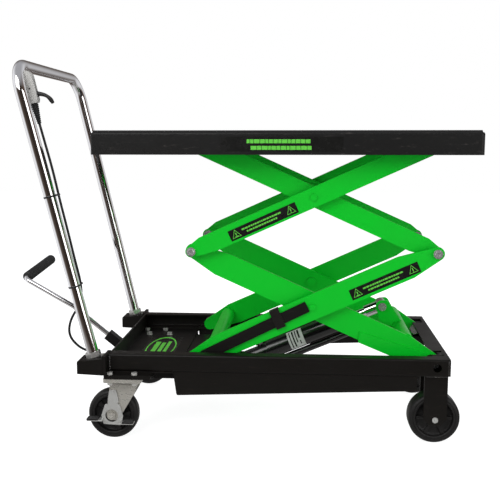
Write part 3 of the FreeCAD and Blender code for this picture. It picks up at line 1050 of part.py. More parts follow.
def post_plate(places, y0, y1, radii):
    """A plate square to Y whose corners are (down the post, out from it)."""
    points = [on_post(along, across, 0) for along, across in places]
    return plate_xz([(p.x, p.z) for p in points], y0, y1, radii)


LEVER_Y0 = BRACKET_Y + 8
LEVER_Y1 = LEVER_Y0 + 9
inner_cheek = post_plate(bracket_places, BRACKET_Y + 0.2, LEVER_Y0 - SIDE_CLEAR, [6, 6, 8, 5, 4, 4])
outer_cheek = post_plate(bracket_places, LEVER_Y1 + SIDE_CLEAR, LEVER_Y1 + SIDE_CLEAR + 2.5, [6, 6, 8, 5, 4, 4])
cheek_bridge = post_plate([(20, -6), (20, 6), (52, 6), (52, -6)], LEVER_Y0 - 1, LEVER_Y1 + 1, [2, 2, 2, 2])
cable_stop = post_plate([(91, 5), (91, 26), (97, 26), (97, 5)], LEVER_Y0 - 1, LEVER_Y1 + 1, [0, 0, 0, 0])
lever_pin = on_post(63, 18, 0)
release_bracket = fused(inner_cheek, outer_cheek, cheek_bridge, cable_stop)
release_bracket = release_bracket.cut(swept(handle_path, HANDLE_TUBE_RADIUS + RUN_CLEAR, post_foot, post_dir))
PIN_R = 3.0
release_bracket = release_bracket.cut(
    rod_y(lever_pin.x, lever_pin.z, PIN_R, BRACKET_Y, LEVER_Y1 + 10))
cable_mouth = on_post(97, 15, LEVER_Y0 + 4.5)
release_bracket = release_bracket.cut(rod(cable_mouth - post_rise, cable_mouth + post_rise * 8, 1.2))
lever_pivot = rod_y(lever_pin.x, lever_pin.z, PIN_R, BRACKET_Y + 0.2, LEVER_Y1 + 4)
nodes["release_bracket"] = group(release_bracket, lever_pivot)
lever_places = [
    (53, 22), (66, 34), (75, 49), (86, 60), (97, 66), (105, 62), (97, 50), (88, 42), (84, 32), (78, 22),
    (68, 10), (56, 11),
]
lever_radii = [5, 8, 10, 10, 4, 4, 8, 8, 6, 8, 6, 6]
release_lever = post_plate(lever_places, LEVER_Y0, LEVER_Y1, lever_radii)
nodes["release_lever"] = release_lever.cut(
    rod_y(lever_pin.x, lever_pin.z, PIN_R + RUN_CLEAR, LEVER_Y0 - 1, LEVER_Y1 + 1))
boot_top = on_post(97.6, 15, LEVER_Y0 + 4.5)
boot_end = on_post(145.5, 14.5, LEVER_Y0 + 4.5)
boot_line = boot_end - boot_top
boot = Part.makeCone(9.5, 4.6, boot_line.Length, boot_top, boot_line)
nodes["release_boot"] = boot

# valve lever on the pump's right face, hanging down to the stop where the cable ends
VALVE_REACH = 32.0
VALVE_FACE = -half_pump - 3
valve_spindle = rod_y(VALVE_X, VALVE_Z, VALVE_RADIUS, VALVE_FACE - 7, -half_pump + 20)
valve_arm = plate_xz(
    [(VALVE_X - 9, VALVE_Z + 9), (VALVE_X + 9, VALVE_Z + 9), (VALVE_X + 9, VALVE_Z - 9),
     (VALVE_X + 5, VALVE_Z - VALVE_REACH), (VALVE_X - 5, VALVE_Z - VALVE_REACH), (VALVE_X - 9, VALVE_Z - 9)],
    VALVE_FACE - 6, VALVE_FACE, [8, 8, 6, 4, 4, 6])
nodes["valve_lever"] = fused(valve_spindle, valve_arm)

# The cable runs from the boot down inside the right-hand post, bows out behind it, and passes
# under the end plate and the floor to the stop beside the valve lever.
cable_end = Vector(VALVE_X - 21.5, VALVE_FACE - 3, VALVE_Z - VALVE_REACH + 6)
cable_points = [
    boot_end,
    Vector(-111, -229, 716), Vector(-97, -228, 660), Vector(-83, -227, 590), Vector(-67.5, -225, 520),
    Vector(-53.5, -222, 450), Vector(-39, -218, 384), Vector(-42, -214, 336), Vector(-72, -209, 296),
    Vector(-80.5, -203, 252), Vector(-55, -195, 218), Vector(-26, -185, 206), Vector(-4, -174, 180),
    Vector(8, -160, 152), Vector(32, -136, 141), Vector(60, -106, 136), Vector(82, -76, 130),
    Vector(100, -54, 125),
    cable_end,
]
turn_radii = []
for index in range(1, len(cable_points) - 1):
    before = cable_points[index] - cable_points[index - 1]
    after = cable_points[index + 1] - cable_points[index]
    half_turn = before.getAngle(after) / 2
    turn_radii.append(0.45 * min(before.Length, after.Length) / math.tan(half_turn))
cable_path = bent_path(cable_points, turn_radii)
cable = swept(cable_path, CABLE_RADIUS, cable_points[0], cable_points[1] - cable_points[0])
nodes["release_cable"] = cable
print("cable length", round(cable_path.Length, 1), "tightest bend", round(min(turn_radii), 1))
print("cable volume ratio", round(cable.Volume / (math.pi * CABLE_RADIUS ** 2 * cable_path.Length), 4))

# ---- centre the object and write one file per node --------------------------------------------
whole = Part.makeCompound(list(nodes.values())).BoundBox
shift = Vector(-(whole.XMin + whole.XMax) / 2, -(whole.YMin + whole.YMax) / 2, -whole.ZMin)
os.makedirs("parts", exist_ok=True)
for name, shape in nodes.items():
    shape.translate(shift)
    shape.exportStep(os.path.join("parts", name + ".step"))
print(len(nodes), "nodes; shifted by", [round(value, 3) for value in shift])
print("size", round(whole.XLength, 1), round(whole.YLength, 1), round(whole.ZLength, 1))
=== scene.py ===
import json
import math
import bmesh
import bpy
import numpy as np
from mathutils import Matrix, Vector

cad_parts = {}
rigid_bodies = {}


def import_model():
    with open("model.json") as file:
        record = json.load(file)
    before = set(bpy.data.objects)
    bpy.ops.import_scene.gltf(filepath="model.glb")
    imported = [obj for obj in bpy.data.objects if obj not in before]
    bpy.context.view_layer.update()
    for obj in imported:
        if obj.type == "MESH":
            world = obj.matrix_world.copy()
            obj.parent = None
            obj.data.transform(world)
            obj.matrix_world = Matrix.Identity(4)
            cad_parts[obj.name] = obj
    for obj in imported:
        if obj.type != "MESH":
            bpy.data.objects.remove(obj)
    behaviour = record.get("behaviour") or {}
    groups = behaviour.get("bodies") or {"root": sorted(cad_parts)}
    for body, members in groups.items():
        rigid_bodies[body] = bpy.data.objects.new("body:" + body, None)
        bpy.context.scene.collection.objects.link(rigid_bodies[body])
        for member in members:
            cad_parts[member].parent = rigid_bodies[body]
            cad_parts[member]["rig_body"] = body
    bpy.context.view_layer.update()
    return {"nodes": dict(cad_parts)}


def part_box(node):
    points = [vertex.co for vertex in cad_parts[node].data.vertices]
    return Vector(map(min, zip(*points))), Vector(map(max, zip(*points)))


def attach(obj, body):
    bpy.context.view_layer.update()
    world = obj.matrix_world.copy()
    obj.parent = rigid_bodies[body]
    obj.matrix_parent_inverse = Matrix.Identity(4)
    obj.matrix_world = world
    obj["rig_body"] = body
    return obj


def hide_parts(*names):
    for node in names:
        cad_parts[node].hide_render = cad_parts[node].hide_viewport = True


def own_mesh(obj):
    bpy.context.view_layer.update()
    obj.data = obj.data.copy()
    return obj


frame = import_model()

# ---------------------------------------------------------------------------------------------
# The studio: a white floor and surround, a large soft box over the left shoulder, a weaker one
# on the right and a strip behind. The camera stands low in front of the cart's right side.
# ---------------------------------------------------------------------------------------------
scene = bpy.context.scene
scene.view_settings.view_transform = "Standard"


def nodes_of(name):
    """A new material and its empty node tree."""
    material = bpy.data.materials.new(name)
    material.use_nodes = True
    tree = material.node_tree
    tree.nodes.clear()
    return material, tree


def add_node(tree, kind, **settings):
    """A node whose properties and input values are given by name."""
    node = tree.nodes.new(kind)
    for key, value in settings.items():
        if hasattr(node, key):
            setattr(node, key, value)
        else:
            node.inputs[key.replace("_", " ")].default_value = value
    return node


# What shines in metal: by compass direction, a dark room in front, white cloths to the left and
# to the right rear, brown shade between them; straight up it is a white ceiling.
shine = bpy.data.node_groups.new("room_shine", "ShaderNodeTree")
shine.interface.new_socket(name="Direction", in_out="INPUT", socket_type="NodeSocketVector")
shine.interface.new_socket(name="Colour", in_out="OUTPUT", socket_type="NodeSocketColor")
shine_in = add_node(shine, "NodeGroupInput")
shine_out = add_node(shine, "NodeGroupOutput")
compass = add_node(shine, "ShaderNodeTexGradient", gradient_type="RADIAL")
cloths = add_node(shine, "ShaderNodeValToRGB")
for position, colour in (
        (0.05, (0.95, 0.95, 0.97)), (0.11, (0.10, 0.075, 0.06)), (0.25, (0.030, 0.022, 0.018)),
        (0.42, (0.060, 0.042, 0.032)), (0.53, (0.16, 0.11, 0.085)), (0.60, (0.80, 0.80, 0.82)),
        (0.68, (0.70, 0.70, 0.72)), (0.74, (0.16, 0.14, 0.13)), (0.84, (0.10, 0.08, 0.07)),
        (0.91, (0.92, 0.92, 0.95))):
    stop = cloths.color_ramp.elements.new(position)
    stop.color = (*colour, 1)
cloths.color_ramp.elements.remove(cloths.color_ramp.elements[0])
cloths.color_ramp.elements[-1].color = (0.97, 0.97, 1.0, 1)
cloth_place = add_node(shine, "ShaderNodeSeparateXYZ")
ceiling = add_node(shine, "ShaderNodeMapRange")
ceiling.inputs["From Min"].default_value = 0.45
ceiling.inputs["From Max"].default_value = 0.85
room = add_node(shine, "ShaderNodeMix", data_type="RGBA")
room.inputs[7].default_value = (0.42, 0.42, 0.44, 1)
shine.links.new(shine_in.outputs[0], compass.inputs["Vector"])
shine.links.new(compass.outputs["Color"], cloths.inputs[0])
shine.links.new(shine_in.outputs[0], cloth_place.inputs[0])
shine.links.new(cloth_place.outputs["Z"], ceiling.inputs["Value"])
shine.links.new(ceiling.outputs[0], room.inputs[0])
shine.links.new(cloths.outputs[0], room.inputs[6])
shine.links.new(room.outputs[2], shine_out.inputs[0])

world = bpy.data.worlds.new("studio_surround")
scene.world = world
world.use_nodes = True
sky = world.node_tree
sky.nodes.clear()
sky_seen = add_node(sky, "ShaderNodeBackground", Color=(1, 1, 1, 1), Strength=1.0)
sky_light = add_node(sky, "ShaderNodeBackground", Color=(0.93, 0.96, 1, 1), Strength=0.42)
sky_mirror = add_node(sky, "ShaderNodeBackground", Strength=1.0)
sky_path = add_node(sky, "ShaderNodeLightPath")
sky_place = add_node(sky, "ShaderNodeTexCoord")
sky_shine = sky.nodes.new("ShaderNodeGroup")
sky_shine.node_tree = shine
sky_mix_mirror = add_node(sky, "ShaderNodeMixShader")
sky_mix_seen = add_node(sky, "ShaderNodeMixShader")
sky_out = add_node(sky, "ShaderNodeOutputWorld")
sky.links.new(sky_place.outputs["Generated"], sky_shine.inputs[0])
sky.links.new(sky_shine.outputs[0], sky_mirror.inputs["Color"])
sky.links.new(sky_path.outputs["Is Glossy Ray"], sky_mix_mirror.inputs[0])
sky.links.new(sky_light.outputs[0], sky_mix_mirror.inputs[1])
sky.links.new(sky_mirror.outputs[0], sky_mix_mirror.inputs[2])
sky.links.new(sky_path.outputs["Is Camera Ray"], sky_mix_seen.inputs[0])
sky.links.new(sky_mix_mirror.outputs[0], sky_mix_seen.inputs[1])
sky.links.new(sky_seen.outputs[0], sky_mix_seen.inputs[2])
sky.links.new(sky_mix_seen.outputs[0], sky_out.inputs[0])

floor_mesh = bpy.data.meshes.new("studio_floor")
floor_mesh.from_pydata([(-9, -9, 0), (9, -9, 0), (9, 9, 0), (-9, 9, 0)], [], [(0, 1, 2, 3)])
floor = bpy.data.objects.new("studio_floor", floor_mesh)
scene.collection.objects.link(floor)
floor_paint, tree = nodes_of("studio_floor")
floor_glow = add_node(tree, "ShaderNodeEmission", Color=(1, 1, 1, 1), Strength=0.88)
floor_matt = add_node(tree, "ShaderNodeBsdfDiffuse", Color=(0.42, 0.42, 0.42, 1))
floor_both = add_node(tree, "ShaderNodeAddShader")
floor_base = add_node(tree, "ShaderNodeBsdfDiffuse", Color=(0.8, 0.8, 0.8, 1))
floor_place = add_node(tree, "ShaderNodeTexCoord")
floor_shine = tree.nodes.new("ShaderNodeGroup")
floor_shine.node_tree = shine
floor_far = add_node(tree, "ShaderNodeVectorMath", operation="LENGTH")
floor_fade = add_node(tree, "ShaderNodeMapRange")
floor_fade.inputs["From Min"].default_value = 0.55
floor_fade.inputs["From Max"].default_value = 1.3
floor_tint = add_node(tree, "ShaderNodeMix", data_type="RGBA")
floor_tint.inputs[6].default_value = (0.42, 0.41, 0.40, 1)
floor_mirror = add_node(tree, "ShaderNodeEmission", Strength=1.0)
floor_path = add_node(tree, "ShaderNodeLightPath")
floor_metal = add_node(tree, "ShaderNodeMixShader")
floor_any = add_node(tree, "ShaderNodeMath", operation="MAXIMUM")
floor_pick = add_node(tree, "ShaderNodeMixShader")
floor_out = add_node(tree, "ShaderNodeOutputMaterial")
tree.links.new(floor_glow.outputs[0], floor_both.inputs[0])
tree.links.new(floor_matt.outputs[0], floor_both.inputs[1])
tree.links.new(floor_place.outputs["Object"], floor_shine.inputs[0])
tree.links.new(floor_place.outputs["Object"], floor_far.inputs[0])
tree.links.new(floor_far.outputs["Value"], floor_fade.inputs["Value"])
tree.links.new(floor_fade.outputs[0], floor_tint.inputs[0])
tree.links.new(floor_shine.outputs[0], floor_tint.inputs[7])
tree.links.new(floor_tint.outputs[2], floor_mirror.inputs["Color"])
tree.links.new(floor_path.outputs["Is Glossy Ray"], floor_metal.inputs[0])
tree.links.new(floor_base.outputs[0], floor_metal.inputs[1])
tree.links.new(floor_mirror.outputs[0], floor_metal.inputs[2])
tree.links.new(floor_path.outputs["Is Camera Ray"], floor_any.inputs[0])
tree.links.new(floor_path.outputs["Is Transmission Ray"], floor_any.inputs[1])
tree.links.new(floor_any.outputs[0], floor_pick.inputs[0])
tree.links.new(floor_metal.outputs[0], floor_pick.inputs[1])
tree.links.new(floor_both.outputs[0], floor_pick.inputs[2])
tree.links.new(floor_pick.outputs[0], floor_out.inputs[0])
floor_mesh.materials.append(floor_paint)


def soft_box(name, place, aim, width, height, watts):
    """A rectangular lamp at a place, turned to face its aim; the strip behind isn't mirrored."""
    lamp = bpy.data.lights.new(name, "AREA")
    lamp.shape = "RECTANGLE"
    lamp.size = width
    lamp.size_y = height
    lamp.energy = watts
    holder = bpy.data.objects.new(name, lamp)
    scene.collection.objects.link(holder)
    holder.visible_glossy = name != "back_strip"
    holder.location = place
    holder.rotation_euler = (Vector(aim) - Vector(place)).to_track_quat("-Z", "Y").to_euler()
    return holder


soft_box("key_box", (-1.3, -2.4, 2.3), (0, 0, 0.4), 2.6, 2.0, 66)
soft_box("fill_box", (2.3, -1.9, 1.1), (0, 0, 0.4), 1.8, 1.8, 26)
soft_box("back_strip", (0.2, 2.1, 1.7), (0, 0, 0.4), 2.4, 1.2, 34)

camera = bpy.data.objects.new("camera", bpy.data.cameras.new("camera"))
scene.collection.objects.link(camera)
scene.camera = camera
camera.data.lens = 56.46
camera.data.sensor_width = 36.0
camera.location = (0.1810, -2.0706, 0.7324)
camera.rotation_euler = (math.radians(90) - 0.139, 0, 0.068)

# ---------------------------------------------------------------------------------------------
# The release cable: a 6 mm black sheathed control cable. It drops from the lever's boot beside
# the right-hand post, bows out behind it and runs under the floor plate to the pump's valve.
# ---------------------------------------------------------------------------------------------
CABLE_DIAMETER = 0.006
CABLE_ROUTE = [
    (-0.4435, -0.2299, 0.7708), (-0.4296, -0.2290, 0.7160), (-0.4156, -0.2280, 0.6600),
    (-0.4016, -0.2270, 0.5900), (-0.3861, -0.2250, 0.5200), (-0.3721, -0.2220, 0.4500),
    (-0.3576, -0.2180, 0.3840), (-0.3606, -0.2140, 0.3360), (-0.3906, -0.2090, 0.2960),
    (-0.3991, -0.2030, 0.2520), (-0.3736, -0.1950, 0.2180), (-0.3446, -0.1850, 0.2060),
    (-0.3226, -0.1740, 0.1800), (-0.3106, -0.1600, 0.1520), (-0.2866, -0.1360, 0.1410),
    (-0.2586, -0.1060, 0.1360), (-0.2366, -0.0760, 0.1300), (-0.2186, -0.0540, 0.1250),
    (-0.2051, -0.0440, 0.1220),
]


def painted(name, colour, rough, grain, depth, pale=0.5):
    """A moulded skin: fine noise lifts it, a slower noise changes its tone and its shine."""
    material, tree = nodes_of(name)
    place = add_node(tree, "ShaderNodeTexCoord")
    noise = add_node(tree, "ShaderNodeTexNoise", Scale=grain, Detail=3.0)
    patch = add_node(tree, "ShaderNodeTexNoise", Scale=34.0, Detail=4.0, Roughness=0.65)
    spread = add_node(tree, "ShaderNodeMapRange")
    spread.inputs["From Min"].default_value = 0.3
    spread.inputs["From Max"].default_value = 0.7
    spread.inputs["To Min"].default_value = rough - 0.08
    spread.inputs["To Max"].default_value = rough + 0.08
    tone = add_node(tree, "ShaderNodeMix", data_type="RGBA")
    tone.inputs[6].default_value = (*[part * (1 - 0.4 * pale) for part in colour], 1)
    tone.inputs[7].default_value = (*[part * (1 + 0.8 * pale) for part in colour], 1)
    bump = add_node(tree, "ShaderNodeBump", Strength=0.4, Distance=depth)
    skin = add_node(tree, "ShaderNodeBsdfPrincipled")
    skin.inputs["Specular IOR Level"].default_value = 0.3
    out = add_node(tree, "ShaderNodeOutputMaterial")
    tree.links.new(place.outputs["Object"], noise.inputs["Vector"])
    tree.links.new(place.outputs["Object"], patch.inputs["Vector"])
    tree.links.new(patch.outputs["Fac"], spread.inputs["Value"])
    tree.links.new(patch.outputs["Fac"], tone.inputs[0])
    tree.links.new(tone.outputs[2], skin.inputs["Base Color"])
    tree.links.new(spread.outputs[0], skin.inputs["Roughness"])
    tree.links.new(noise.outputs["Fac"], bump.inputs["Height"])
    tree.links.new(bump.outputs[0], skin.inputs["Normal"])
    tree.links.new(skin.outputs[0], out.inputs[0])
    return material


sheath = painted("cable_sheath", (0.012, 0.012, 0.012), 0.42, 900.0, 0.0002)
cable_curve = bpy.data.curves.new("release_cable_line", "CURVE")
cable_curve.dimensions = "3D"
cable_curve.bevel_depth = CABLE_DIAMETER / 2
cable_curve.bevel_resolution = 6
cable_curve.use_fill_caps = True
cable_line = cable_curve.splines.new("NURBS")
cable_line.points.add(len(CABLE_ROUTE) - 1)
for point, place in zip(cable_line.points, CABLE_ROUTE):
    point.co = (*place, 1)
cable_line.use_endpoint_u = True
cable_line.order_u = 3
cable_line.resolution_u = 12
cable = bpy.data.objects.new("release_cable_line", cable_curve)
scene.collection.objects.link(cable)
cable.data.materials.append(sheath)
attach(cable, "base")
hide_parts("release_cable")

# ---------------------------------------------------------------------------------------------
# The base: two folded channel rails, end plates, skirts and a floor plate, cut from 4 mm steel,
# welded together and powder coated near-black. The rollers of the lower arms run in the rails.
# ---------------------------------------------------------------------------------------------
def socket(group, kind, name, way, value=None):
    """One named input or output of a node group."""
    item = group.interface.new_socket(name=name, in_out=way, socket_type=kind)
    if value is not None:
        item.default_value = value
    return item


# Coating shared by every painted piece: cloudy tone, fine orange peel, and small rubbed flecks.
coating = bpy.data.node_groups.new("powder_coating", "ShaderNodeTree")
socket(coating, "NodeSocketColor", "Paint", "INPUT", (0.5, 0.5, 0.5, 1))
socket(coating, "NodeSocketColor", "Worn", "INPUT", (0.3, 0.3, 0.3, 1))
socket(coating, "NodeSocketFloat", "Gloss", "INPUT", 0.35)
socket(coating, "NodeSocketFloat", "Peel Scale", "INPUT", 260.0)
socket(coating, "NodeSocketFloat", "Flecks", "INPUT", 0.1)
socket(coating, "NodeSocketFloat", "Clouds", "INPUT", 0.25)
socket(coating, "NodeSocketColor", "Colour", "OUTPUT")
socket(coating, "NodeSocketFloat", "Roughness", "OUTPUT")
socket(coating, "NodeSocketFloat", "Height", "OUTPUT")
given = add_node(coating, "NodeGroupInput")
made = add_node(coating, "NodeGroupOutput")
place = add_node(coating, "ShaderNodeTexCoord")
cloud = add_node(coating, "ShaderNodeTexNoise", Scale=7.0, Detail=4.0, Roughness=0.6)
cloud_span = add_node(coating, "ShaderNodeMapRange")
cloud_span.inputs["From Min"].default_value = 0.3
cloud_span.inputs["From Max"].default_value = 0.7
darker = add_node(coating, "ShaderNodeMath", operation="MULTIPLY")
tone = add_node(coating, "ShaderNodeMix", data_type="RGBA", blend_type="MULTIPLY")
tone.inputs[7].default_value = (0.55, 0.55, 0.55, 1)
peel = add_node(coating, "ShaderNodeTexNoise", Detail=2.0)
streak_place = add_node(coating, "ShaderNodeMapping")
streak_place.inputs["Scale"].default_value = (14.0, 90.0, 90.0)
streak = add_node(coating, "ShaderNodeTexNoise", Scale=2.2, Detail=6.0, Roughness=0.75)
fleck_edge = add_node(coating, "ShaderNodeMapRange")
fleck_edge.inputs["From Min"].default_value = 0.58
fleck_edge.inputs["From Max"].default_value = 0.68
fleck_amount = add_node(coating, "ShaderNodeMath", operation="MULTIPLY")
fleck_mix = add_node(coating, "ShaderNodeMix", data_type="RGBA")
gloss_low = add_node(coating, "ShaderNodeMath", operation="MULTIPLY_ADD")
gloss_low.inputs[1].default_value = 0.16
gloss_worn = add_node(coating, "ShaderNodeMath", operation="MULTIPLY_ADD")
gloss_worn.inputs[1].default_value = 0.2
link = coating.links.new
link(place.outputs["Object"], cloud.inputs["Vector"])
link(cloud.outputs["Fac"], cloud_span.inputs["Value"])
link(cloud_span.outputs[0], darker.inputs[0])
link(given.outputs["Clouds"], darker.inputs[1])
link(darker.outputs[0], tone.inputs[0])
link(given.outputs["Paint"], tone.inputs[6])
link(place.outputs["Object"], peel.inputs["Vector"])
link(given.outputs["Peel Scale"], peel.inputs["Scale"])
link(place.outputs["Object"], streak_place.inputs["Vector"])
link(streak_place.outputs[0], streak.inputs["Vector"])
link(streak.outputs["Fac"], fleck_edge.inputs["Value"])
link(fleck_edge.outputs[0], fleck_amount.inputs[0])
link(given.outputs["Flecks"], fleck_amount.inputs[1])
link(fleck_amount.outputs[0], fleck_mix.inputs[0])
link(tone.outputs[2], fleck_mix.inputs[6])
link(given.outputs["Worn"], fleck_mix.inputs[7])
link(cloud_span.outputs[0], gloss_low.inputs[0])
link(given.outputs["Gloss"], gloss_low.inputs[2])
link(fleck_amount.outputs[0], gloss_worn.inputs[0])
link(gloss_low.outputs[0], gloss_worn.inputs[2])
link(fleck_mix.outputs[2], made.inputs["Colour"])
link(gloss_worn.outputs[0], made.inputs["Roughness"])
link(peel.outputs["Fac"], made.inputs["Height"])


def coated(name, paint, worn, gloss, flecks=0.1, clouds=0.25, peel_scale=260.0, depth=0.0002, coat=0.0,
           shine=0.22):
    """Painted steel: the coating group feeds colour, roughness and a fine bump."""
    material, tree = nodes_of(name)
    coat_node = tree.nodes.new("ShaderNodeGroup")
    coat_node.node_tree = coating
    coat_node.inputs["Paint"].default_value = (*paint, 1)
    coat_node.inputs["Worn"].default_value = (*worn, 1)
    coat_node.inputs["Gloss"].default_value = gloss
    coat_node.inputs["Flecks"].default_value = flecks
    coat_node.inputs["Clouds"].default_value = clouds
    coat_node.inputs["Peel Scale"].default_value = peel_scale
    bump = add_node(tree, "ShaderNodeBump", Strength=0.35, Distance=depth)
    skin = add_node(tree, "ShaderNodeBsdfPrincipled")
    skin.inputs["Specular IOR Level"].default_value = shine
    skin.inputs["Coat Weight"].default_value = coat
    skin.inputs["Coat Roughness"].default_value = 0.12
    out = add_node(tree, "ShaderNodeOutputMaterial")
    tree.links.new(coat_node.outputs["Colour"], skin.inputs["Base Color"])
    tree.links.new(coat_node.outputs["Roughness"], skin.inputs["Roughness"])
    tree.links.new(coat_node.outputs["Height"], bump.inputs["Height"])
    tree.links.new(bump.outputs[0], skin.inputs["Normal"])
    tree.links.new(skin.outputs[0], out.inputs[0])
    return material


def finish_with(material, *names):
    """The carried-over pieces take this finish on every material slot."""
    for name in names:
        mesh = frame["nodes"][name].data
        mesh.materials.clear()
        mesh.materials.append(material)


black_coat = coated("black_powder_coat", (0.0062, 0.0052, 0.0042), (0.060, 0.042, 0.030), 0.34, flecks=0.14)
finish_with(black_coat, "side_rail_left", "side_rail_right", "skirt_plates", "handle_end_plate",
            "front_end_channel", "handle_sockets", "caster_pads", "front_forks", "arm_pivot_brackets",
            "ram_cross_shaft")


def skin_from(name, points, faces, material, sharp=40.0):
    """A piece from points and faces: doubles merged, faces turned outwards, creases kept sharp."""
    mesh = bpy.data.meshes.new(name)
    mesh.from_pydata(np.asarray(points, dtype=float).reshape(-1, 3), [], np.asarray(faces).tolist())
    work = bmesh.new()
    work.from_mesh(mesh)
    bmesh.ops.remove_doubles(work, verts=work.verts, dist=1e-6)
    bmesh.ops.recalc_face_normals(work, faces=work.faces)
    work.to_mesh(mesh)
    work.free()
    mesh.shade_smooth()
    mesh.set_sharp_from_angle(angle=math.radians(sharp))
    mesh.materials.append(material)
    piece = bpy.data.objects.new(name, mesh)
    scene.collection.objects.link(piece)
    return piece


def close_skin(name, grid, material, sharp=40.0, ends=True):
    """A skin through rings of points; each end ring is closed by a fan to its own middle."""
    grid = np.asarray(grid, dtype=float)
    if ends:
        first = np.repeat(grid[:1].mean(axis=1, keepdims=True), grid.shape[1], axis=1)
        last = np.repeat(grid[-1:].mean(axis=1, keepdims=True), grid.shape[1], axis=1)
        grid = np.concatenate([first, grid, last])
    index = np.arange(grid.shape[0] * grid.shape[1]).reshape(grid.shape[:2])
    beside = np.roll(index, -1, axis=1)
    faces = np.stack([index[:-1], index[1:], beside[1:], beside[:-1]], axis=-1).reshape(-1, 4)
    return skin_from(name, grid, faces, material, sharp)


def square_to(direction):
    """Two unit vectors square to a direction and to each other."""
    direction = np.asarray(direction, dtype=float)
    direction = direction / np.linalg.norm(direction)
    helper = np.array([0.0, 0.0, 1.0]) if abs(direction[2]) < 0.9 else np.array([1.0, 0.0, 0.0])
    side = np.cross(direction, helper)
    side /= np.linalg.norm(side)
    return side, np.cross(direction, side)


bead_coat = coated("weld_black_coat", (0.010, 0.009, 0.008), (0.30, 0.27, 0.24), 0.16, flecks=0.35, shine=0.9)


def weld_bead(name, start, end, radius, seed):
    """A laid weld: a round bar between two points whose radius swells and dips at each ripple."""
    start, end = np.asarray(start, float), np.asarray(end, float)
    length = np.linalg.norm(end - start)
    steps = max(12, int(length / 0.0008))
    along = np.linspace(0, 1, steps)
    random = np.random.default_rng(seed)
    lumps = np.interp(along, np.linspace(0, 1, 14), random.uniform(-0.22, 0.22, 14))
    ripple = 0.10 * np.abs(np.sin(np.pi * along * length / 0.0026))
    thin_ends = np.clip(np.sqrt(np.minimum(along, 1 - along) * length / 0.003), 0.3, 1)
    swell = radius * (1 + lumps + ripple) * thin_ends
    side, up = square_to(end - start)
    turn = np.linspace(0, 2 * np.pi, 12, endpoint=False)
    rim = np.cos(turn)[:, None] * side + np.sin(turn)[:, None] * up
    middle = start + along[:, None] * (end - start)
    bead = close_skin(name, middle[:, None, :] + swell[:, None, None] * rim[None], bead_coat, sharp=80)
    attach(bead, "base")
    return bead


rail_low, rail_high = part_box("side_rail_right")
fork_low, fork_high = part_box("front_forks")
plate_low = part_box("handle_end_plate")[0]
seam = 0
for side in (-1, 1):
    face = side * abs(rail_low[1])
    leg = side * fork_high[1]
    corner_x = plate_low[0] + 0.0022
    fork_z = rail_low[2] - 0.0016
    runs = [
        ((corner_x, face - side * 0.0006, rail_low[2] + 0.001),
         (corner_x, face - side * 0.0006, rail_high[2] - 0.004), 0.0032),
        ((rail_high[0], face - side * 0.0004, rail_low[2] + 0.004),
         (rail_high[0], face - side * 0.0004, rail_high[2] - 0.004), 0.0020),
        ((fork_low[0] + 0.002, leg + side * 0.0014, fork_z),
         (fork_high[0] - 0.002, leg + side * 0.0014, fork_z), 0.0030),
        ((fork_low[0] - 0.0012, leg - side * 0.002, fork_z),
         (fork_low[0] - 0.0012, leg - side * 0.060, fork_z), 0.0024),
    ]
    for start, end, radius in runs:
        seam += 1
        weld_bead("weld_bead_%d" % seam, start, end, radius, seam)

# ---------------------------------------------------------------------------------------------
# The floor plate: black coated sheet, rubbed brown in places, with zinc plated bolts through it
# and a long vinyl label that carries a plain green oval and bars.
# ---------------------------------------------------------------------------------------------
def metal(name, colour, rough, grain=(60.0, 60.0, 60.0), streak=0.10, depth=0.00006, tone=0.25, bare=1.0):
    """Bare or plated metal: stretched noise gives brush lines in roughness, tone and height."""
    material, tree = nodes_of(name)
    place = add_node(tree, "ShaderNodeTexCoord")
    stretch = add_node(tree, "ShaderNodeMapping")
    stretch.inputs["Scale"].default_value = grain
    lines = add_node(tree, "ShaderNodeTexNoise", Scale=6.0, Detail=5.0, Roughness=0.65)
    patch = add_node(tree, "ShaderNodeTexNoise", Scale=24.0, Detail=3.0)
    both = add_node(tree, "ShaderNodeMath", operation="MULTIPLY")
    spread = add_node(tree, "ShaderNodeMapRange")
    spread.inputs["From Min"].default_value = 0.15
    spread.inputs["From Max"].default_value = 0.40
    spread.inputs["To Min"].default_value = max(0.02, rough - streak)
    spread.inputs["To Max"].default_value = rough + streak
    shade = add_node(tree, "ShaderNodeMix", data_type="RGBA")
    shade.inputs[6].default_value = (*colour, 1)
    shade.inputs[7].default_value = (*[part * (1 - tone) for part in colour], 1)
    bump = add_node(tree, "ShaderNodeBump", Strength=0.3, Distance=depth)
    skin = add_node(tree, "ShaderNodeBsdfPrincipled", Metallic=bare)
    out = add_node(tree, "ShaderNodeOutputMaterial")
    tree.links.new(place.outputs["Object"], stretch.inputs["Vector"])
    tree.links.new(stretch.outputs[0], lines.inputs["Vector"])
    tree.links.new(place.outputs["Object"], patch.inputs["Vector"])
    tree.links.new(lines.outputs["Fac"], both.inputs[0])
    tree.links.new(patch.outputs["Fac"], both.inputs[1])
    tree.links.new(both.outputs[0], spread.inputs["Value"])
    tree.links.new(spread.outputs[0], skin.inputs["Roughness"])
    tree.links.new(patch.outputs["Fac"], shade.inputs[0])
    tree.links.new(shade.outputs[2], skin.inputs["Base Color"])
    tree.links.new(lines.outputs["Fac"], bump.inputs["Height"])
    tree.links.new(bump.outputs[0], skin.inputs["Normal"])
    tree.links.new(skin.outputs[0], out.inputs[0])
    return material


